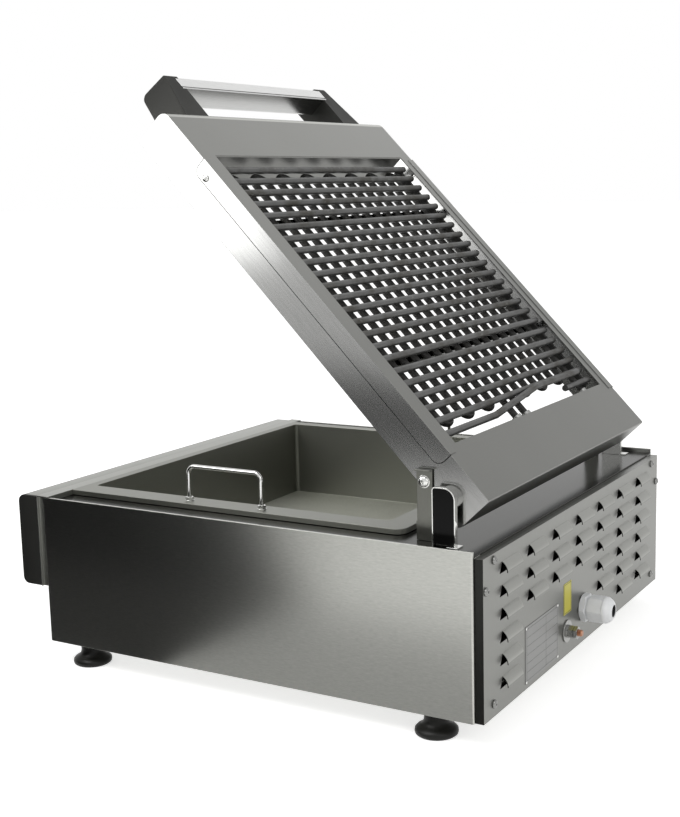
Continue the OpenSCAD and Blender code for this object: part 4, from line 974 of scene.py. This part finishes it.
def blank_label():
    """Blank yellow label with a border."""
    low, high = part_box("yellow_label")
    label = bmesh.new()
    small_block(label, low, high, 0.05)
    finished("yellow_label_blank", label, "label_film", "base", "label_film", "yellow_label")
    border = bmesh.new()
    edge, line = 1.2 * MM, 0.5 * MM
    near, far = high[1] - INK_PROUD, high[1] + INK_PROUD
    x0, x1, z0, z1 = low[0] + edge, high[0] - edge, low[2] + edge, high[2] - edge
    for a, b in (((x0, z0), (x1, z0 + line)), ((x0, z1 - line), (x1, z1)),
                 ((x0, z0 + line), (x0 + line, z1 - line)), ((x1 - line, z0 + line), (x1, z1 - line))):
        small_block(border, (a[0], near, a[1]), (b[0], far, b[1]))
    finished("yellow_label_border", border, "plate_ink", "base", "label_film", even=False)


# Millimetres in the lid: the grate's window, its rods from front to rear, and its side bars
WINDOW_FRONT, WINDOW_REAR = 483.5, 71
FIRST_ROD_IN, LAST_ROD_IN = 15.5, 32
ROD_COUNT = 22
SIDE_BAR_X, SIDE_BAR_TOP = 210.5, 36.7
BEAD_OFFSET = 3.4


def grate_welds():
    """Weld beads where each rod crosses the two side bars."""
    pitch = (WINDOW_FRONT - WINDOW_REAR - FIRST_ROD_IN - LAST_ROD_IN) / (ROD_COUNT - 1)
    bead = bmesh.new()
    bmesh.ops.create_icosphere(bead, subdivisions=1, radius=1.7 * MM)
    bmesh.ops.scale(bead, vec=(1.5, 1.0, 0.8), verts=bead.verts)
    places = []
    for i in range(ROD_COUNT):
        u = WINDOW_FRONT - FIRST_ROD_IN - i * pitch
        for s in (-1, 1):
            for k in (-1, 1):
                spot = lid_point(s * SIDE_BAR_X, u + k * BEAD_OFFSET, SIDE_BAR_TOP)
                places.append(pointing(spot, LID_UP, 0.4 * math.sin(7 * i + 3 * s + k)))
    finished("grate_weld_beads", stamped(bead, places), "rod_steel", "grate_rack", "rod_steel",
             even=False)


# Floor, world and lamps

FLOOR_GLOW = 0.62
WORLD_DIFFUSE, WORLD_SEEN = 0.55, 1.0


def seen_rays(tree):
    """1 for rays from the lens, through clear pieces and off shiny ones, and else 0."""
    path = tree.nodes.new("ShaderNodeLightPath")
    value = path.outputs["Is Camera Ray"]
    for name in ("Is Transmission Ray", "Is Glossy Ray"):
        most = tree.nodes.new("ShaderNodeMath")
        most.operation = "MAXIMUM"
        tree.links.new(value, most.inputs[0])
        tree.links.new(path.outputs[name], most.inputs[1])
        value = most.outputs[0]
    return value


def pale_floor():
    """White for the lens and in reflections, with the object's shadow kept."""
    nodes = Nodes("pale_floor")
    glow = nodes.add("ShaderNodeMath", {"operation": "MULTIPLY"})
    nodes.tree.links.new(seen_rays(nodes.tree), glow.inputs[0])
    glow.inputs[1].default_value = FLOOR_GLOW
    nodes.set(Base_Color=(0.80, 0.80, 0.79, 1), Roughness=0.9, Emission_Color=(1, 1, 1, 1),
              Emission_Strength=glow.outputs[0])
    mesh = bpy.data.meshes.new("floor")
    shape = bmesh.new()
    bmesh.ops.create_grid(shape, x_segments=1, y_segments=1, size=30)
    shape.to_mesh(mesh)
    shape.free()
    link_object("floor", mesh, [nodes.material])


def beside(name, outline, material):
    """A thin sheet beside the object that only reflections see."""
    mesh = bpy.data.meshes.new(name)
    shape = bmesh.new()
    corners = [shape.verts.new(corner) for corner in outline]
    faces = bmesh.ops.contextual_create(shape, geom=corners)["faces"]
    bmesh.ops.solidify(shape, geom=faces, thickness=0.002)
    bmesh.ops.recalc_face_normals(shape, faces=shape.faces)
    shape.to_mesh(mesh)
    shape.free()
    sheet = link_object(name, mesh, [material])
    sheet.visible_camera = False
    sheet.visible_shadow = False
    sheet.visible_diffuse = False


def dark_card(name, outline, shade):
    """A matt sheet whose reflection shades the steel."""
    nodes = Nodes(name)
    nodes.set(Base_Color=(shade, shade, shade, 1), Roughness=0.9, Specular_IOR_Level=0)
    beside(name, outline, nodes.material)


def soft_box(name, outline, strength):
    """A glowing sheet beside the object, seen only in reflections and hidden there by the cards."""
    nodes = Nodes(name)
    nodes.set(Base_Color=(0, 0, 0, 1), Specular_IOR_Level=0, Emission_Color=(1, 1, 1, 1),
              Emission_Strength=strength)
    nodes.material.cycles.emission_sampling = "NONE"
    beside(name, outline, nodes.material)


def studio_world():
    """White to the lens and in reflections, and dimmer as a light."""
    world = bpy.data.worlds.new("studio")
    world.use_nodes = True
    scene.world = world
    tree = world.node_tree
    background = tree.nodes["Background"]
    strength = tree.nodes.new("ShaderNodeMapRange")
    strength.inputs["To Min"].default_value = WORLD_DIFFUSE
    strength.inputs["To Max"].default_value = WORLD_SEEN
    tree.links.new(seen_rays(tree), strength.inputs["Value"])
    tree.links.new(strength.outputs["Result"], background.inputs["Strength"])
    background.inputs["Color"].default_value = (1, 1, 1, 1)


def area_light(name, place, target, width, height, power):
    """A lamp that faces a target, its sizes in metres and its power in watts."""
    data = bpy.data.lights.new(name, "AREA")
    data.shape = "RECTANGLE"
    data.size = width
    data.size_y = height
    data.energy = power
    light = bpy.data.objects.new(name, data)
    light.location = place
    light.rotation_euler = (Vector(target) - Vector(place)).to_track_quat("-Z", "Y").to_euler()
    scene.collection.objects.link(light)


def cards_and_lamps():
    """The cards and the box stand beside the side that the photograph shows, their corners in metres."""
    dark_card("standing_card", [(0.62, -0.10, 0), (0.62, -0.17, 0.10), (0.62, -0.24, 0.30),
                                (0.62, -0.45, 0.48), (0.62, -1.6, 0.60), (0.62, -1.6, 0)], 0.004)
    dark_card("near_floor_card", [(0.30, -1.6, 0.001), (0.62, -1.6, 0.001), (0.62, -0.12, 0.001),
                                  (0.30, -0.14, 0.001)], 0.05)
    dark_card("grey_floor_card", [(0.30, -0.14, 0.001), (0.62, -0.12, 0.001), (0.58, 0.32, 0.001),
                                  (0.30, 0.32, 0.001)], 0.6)
    dark_card("far_card",
              [(1.3, -0.85, 0), (1.3, -0.12, 0), (1.3, -0.12, 0.20), (1.3, -0.85, 0.20)], 0.08)
    soft_box("lid_box", [(1.0, -1.5, 0.40), (1.0, -0.46, 0.44), (1.0, -0.46, 1.2), (1.0, -1.5, 1.2)], 5)
    area_light("key", (1.6, -0.6, 2.2), (0, 0, 0.2), 1.6, 1.2, 32)
    area_light("fill", (1.0, 2.2, 1.6), (0, 0, 0.2), 1.8, 1.4, 11)
    area_light("band_box", (-1.0, -0.15, 1.35), (0, -0.13, 0.62), 0.9, 0.9, 1.0)


place_camera()
sheet_parts()
trim_seams()
screws()
pan_grip_nuts()
earth_point()
cable_gland()
feet()
knobs()
dial_prints()
pilot_lamps()
terminal_screws()
panel_strip()
blank_plate()
blank_label()
grate_welds()
pale_floor()
studio_world()
cards_and_lamps()
scene.view_settings.view_transform = "Standard"
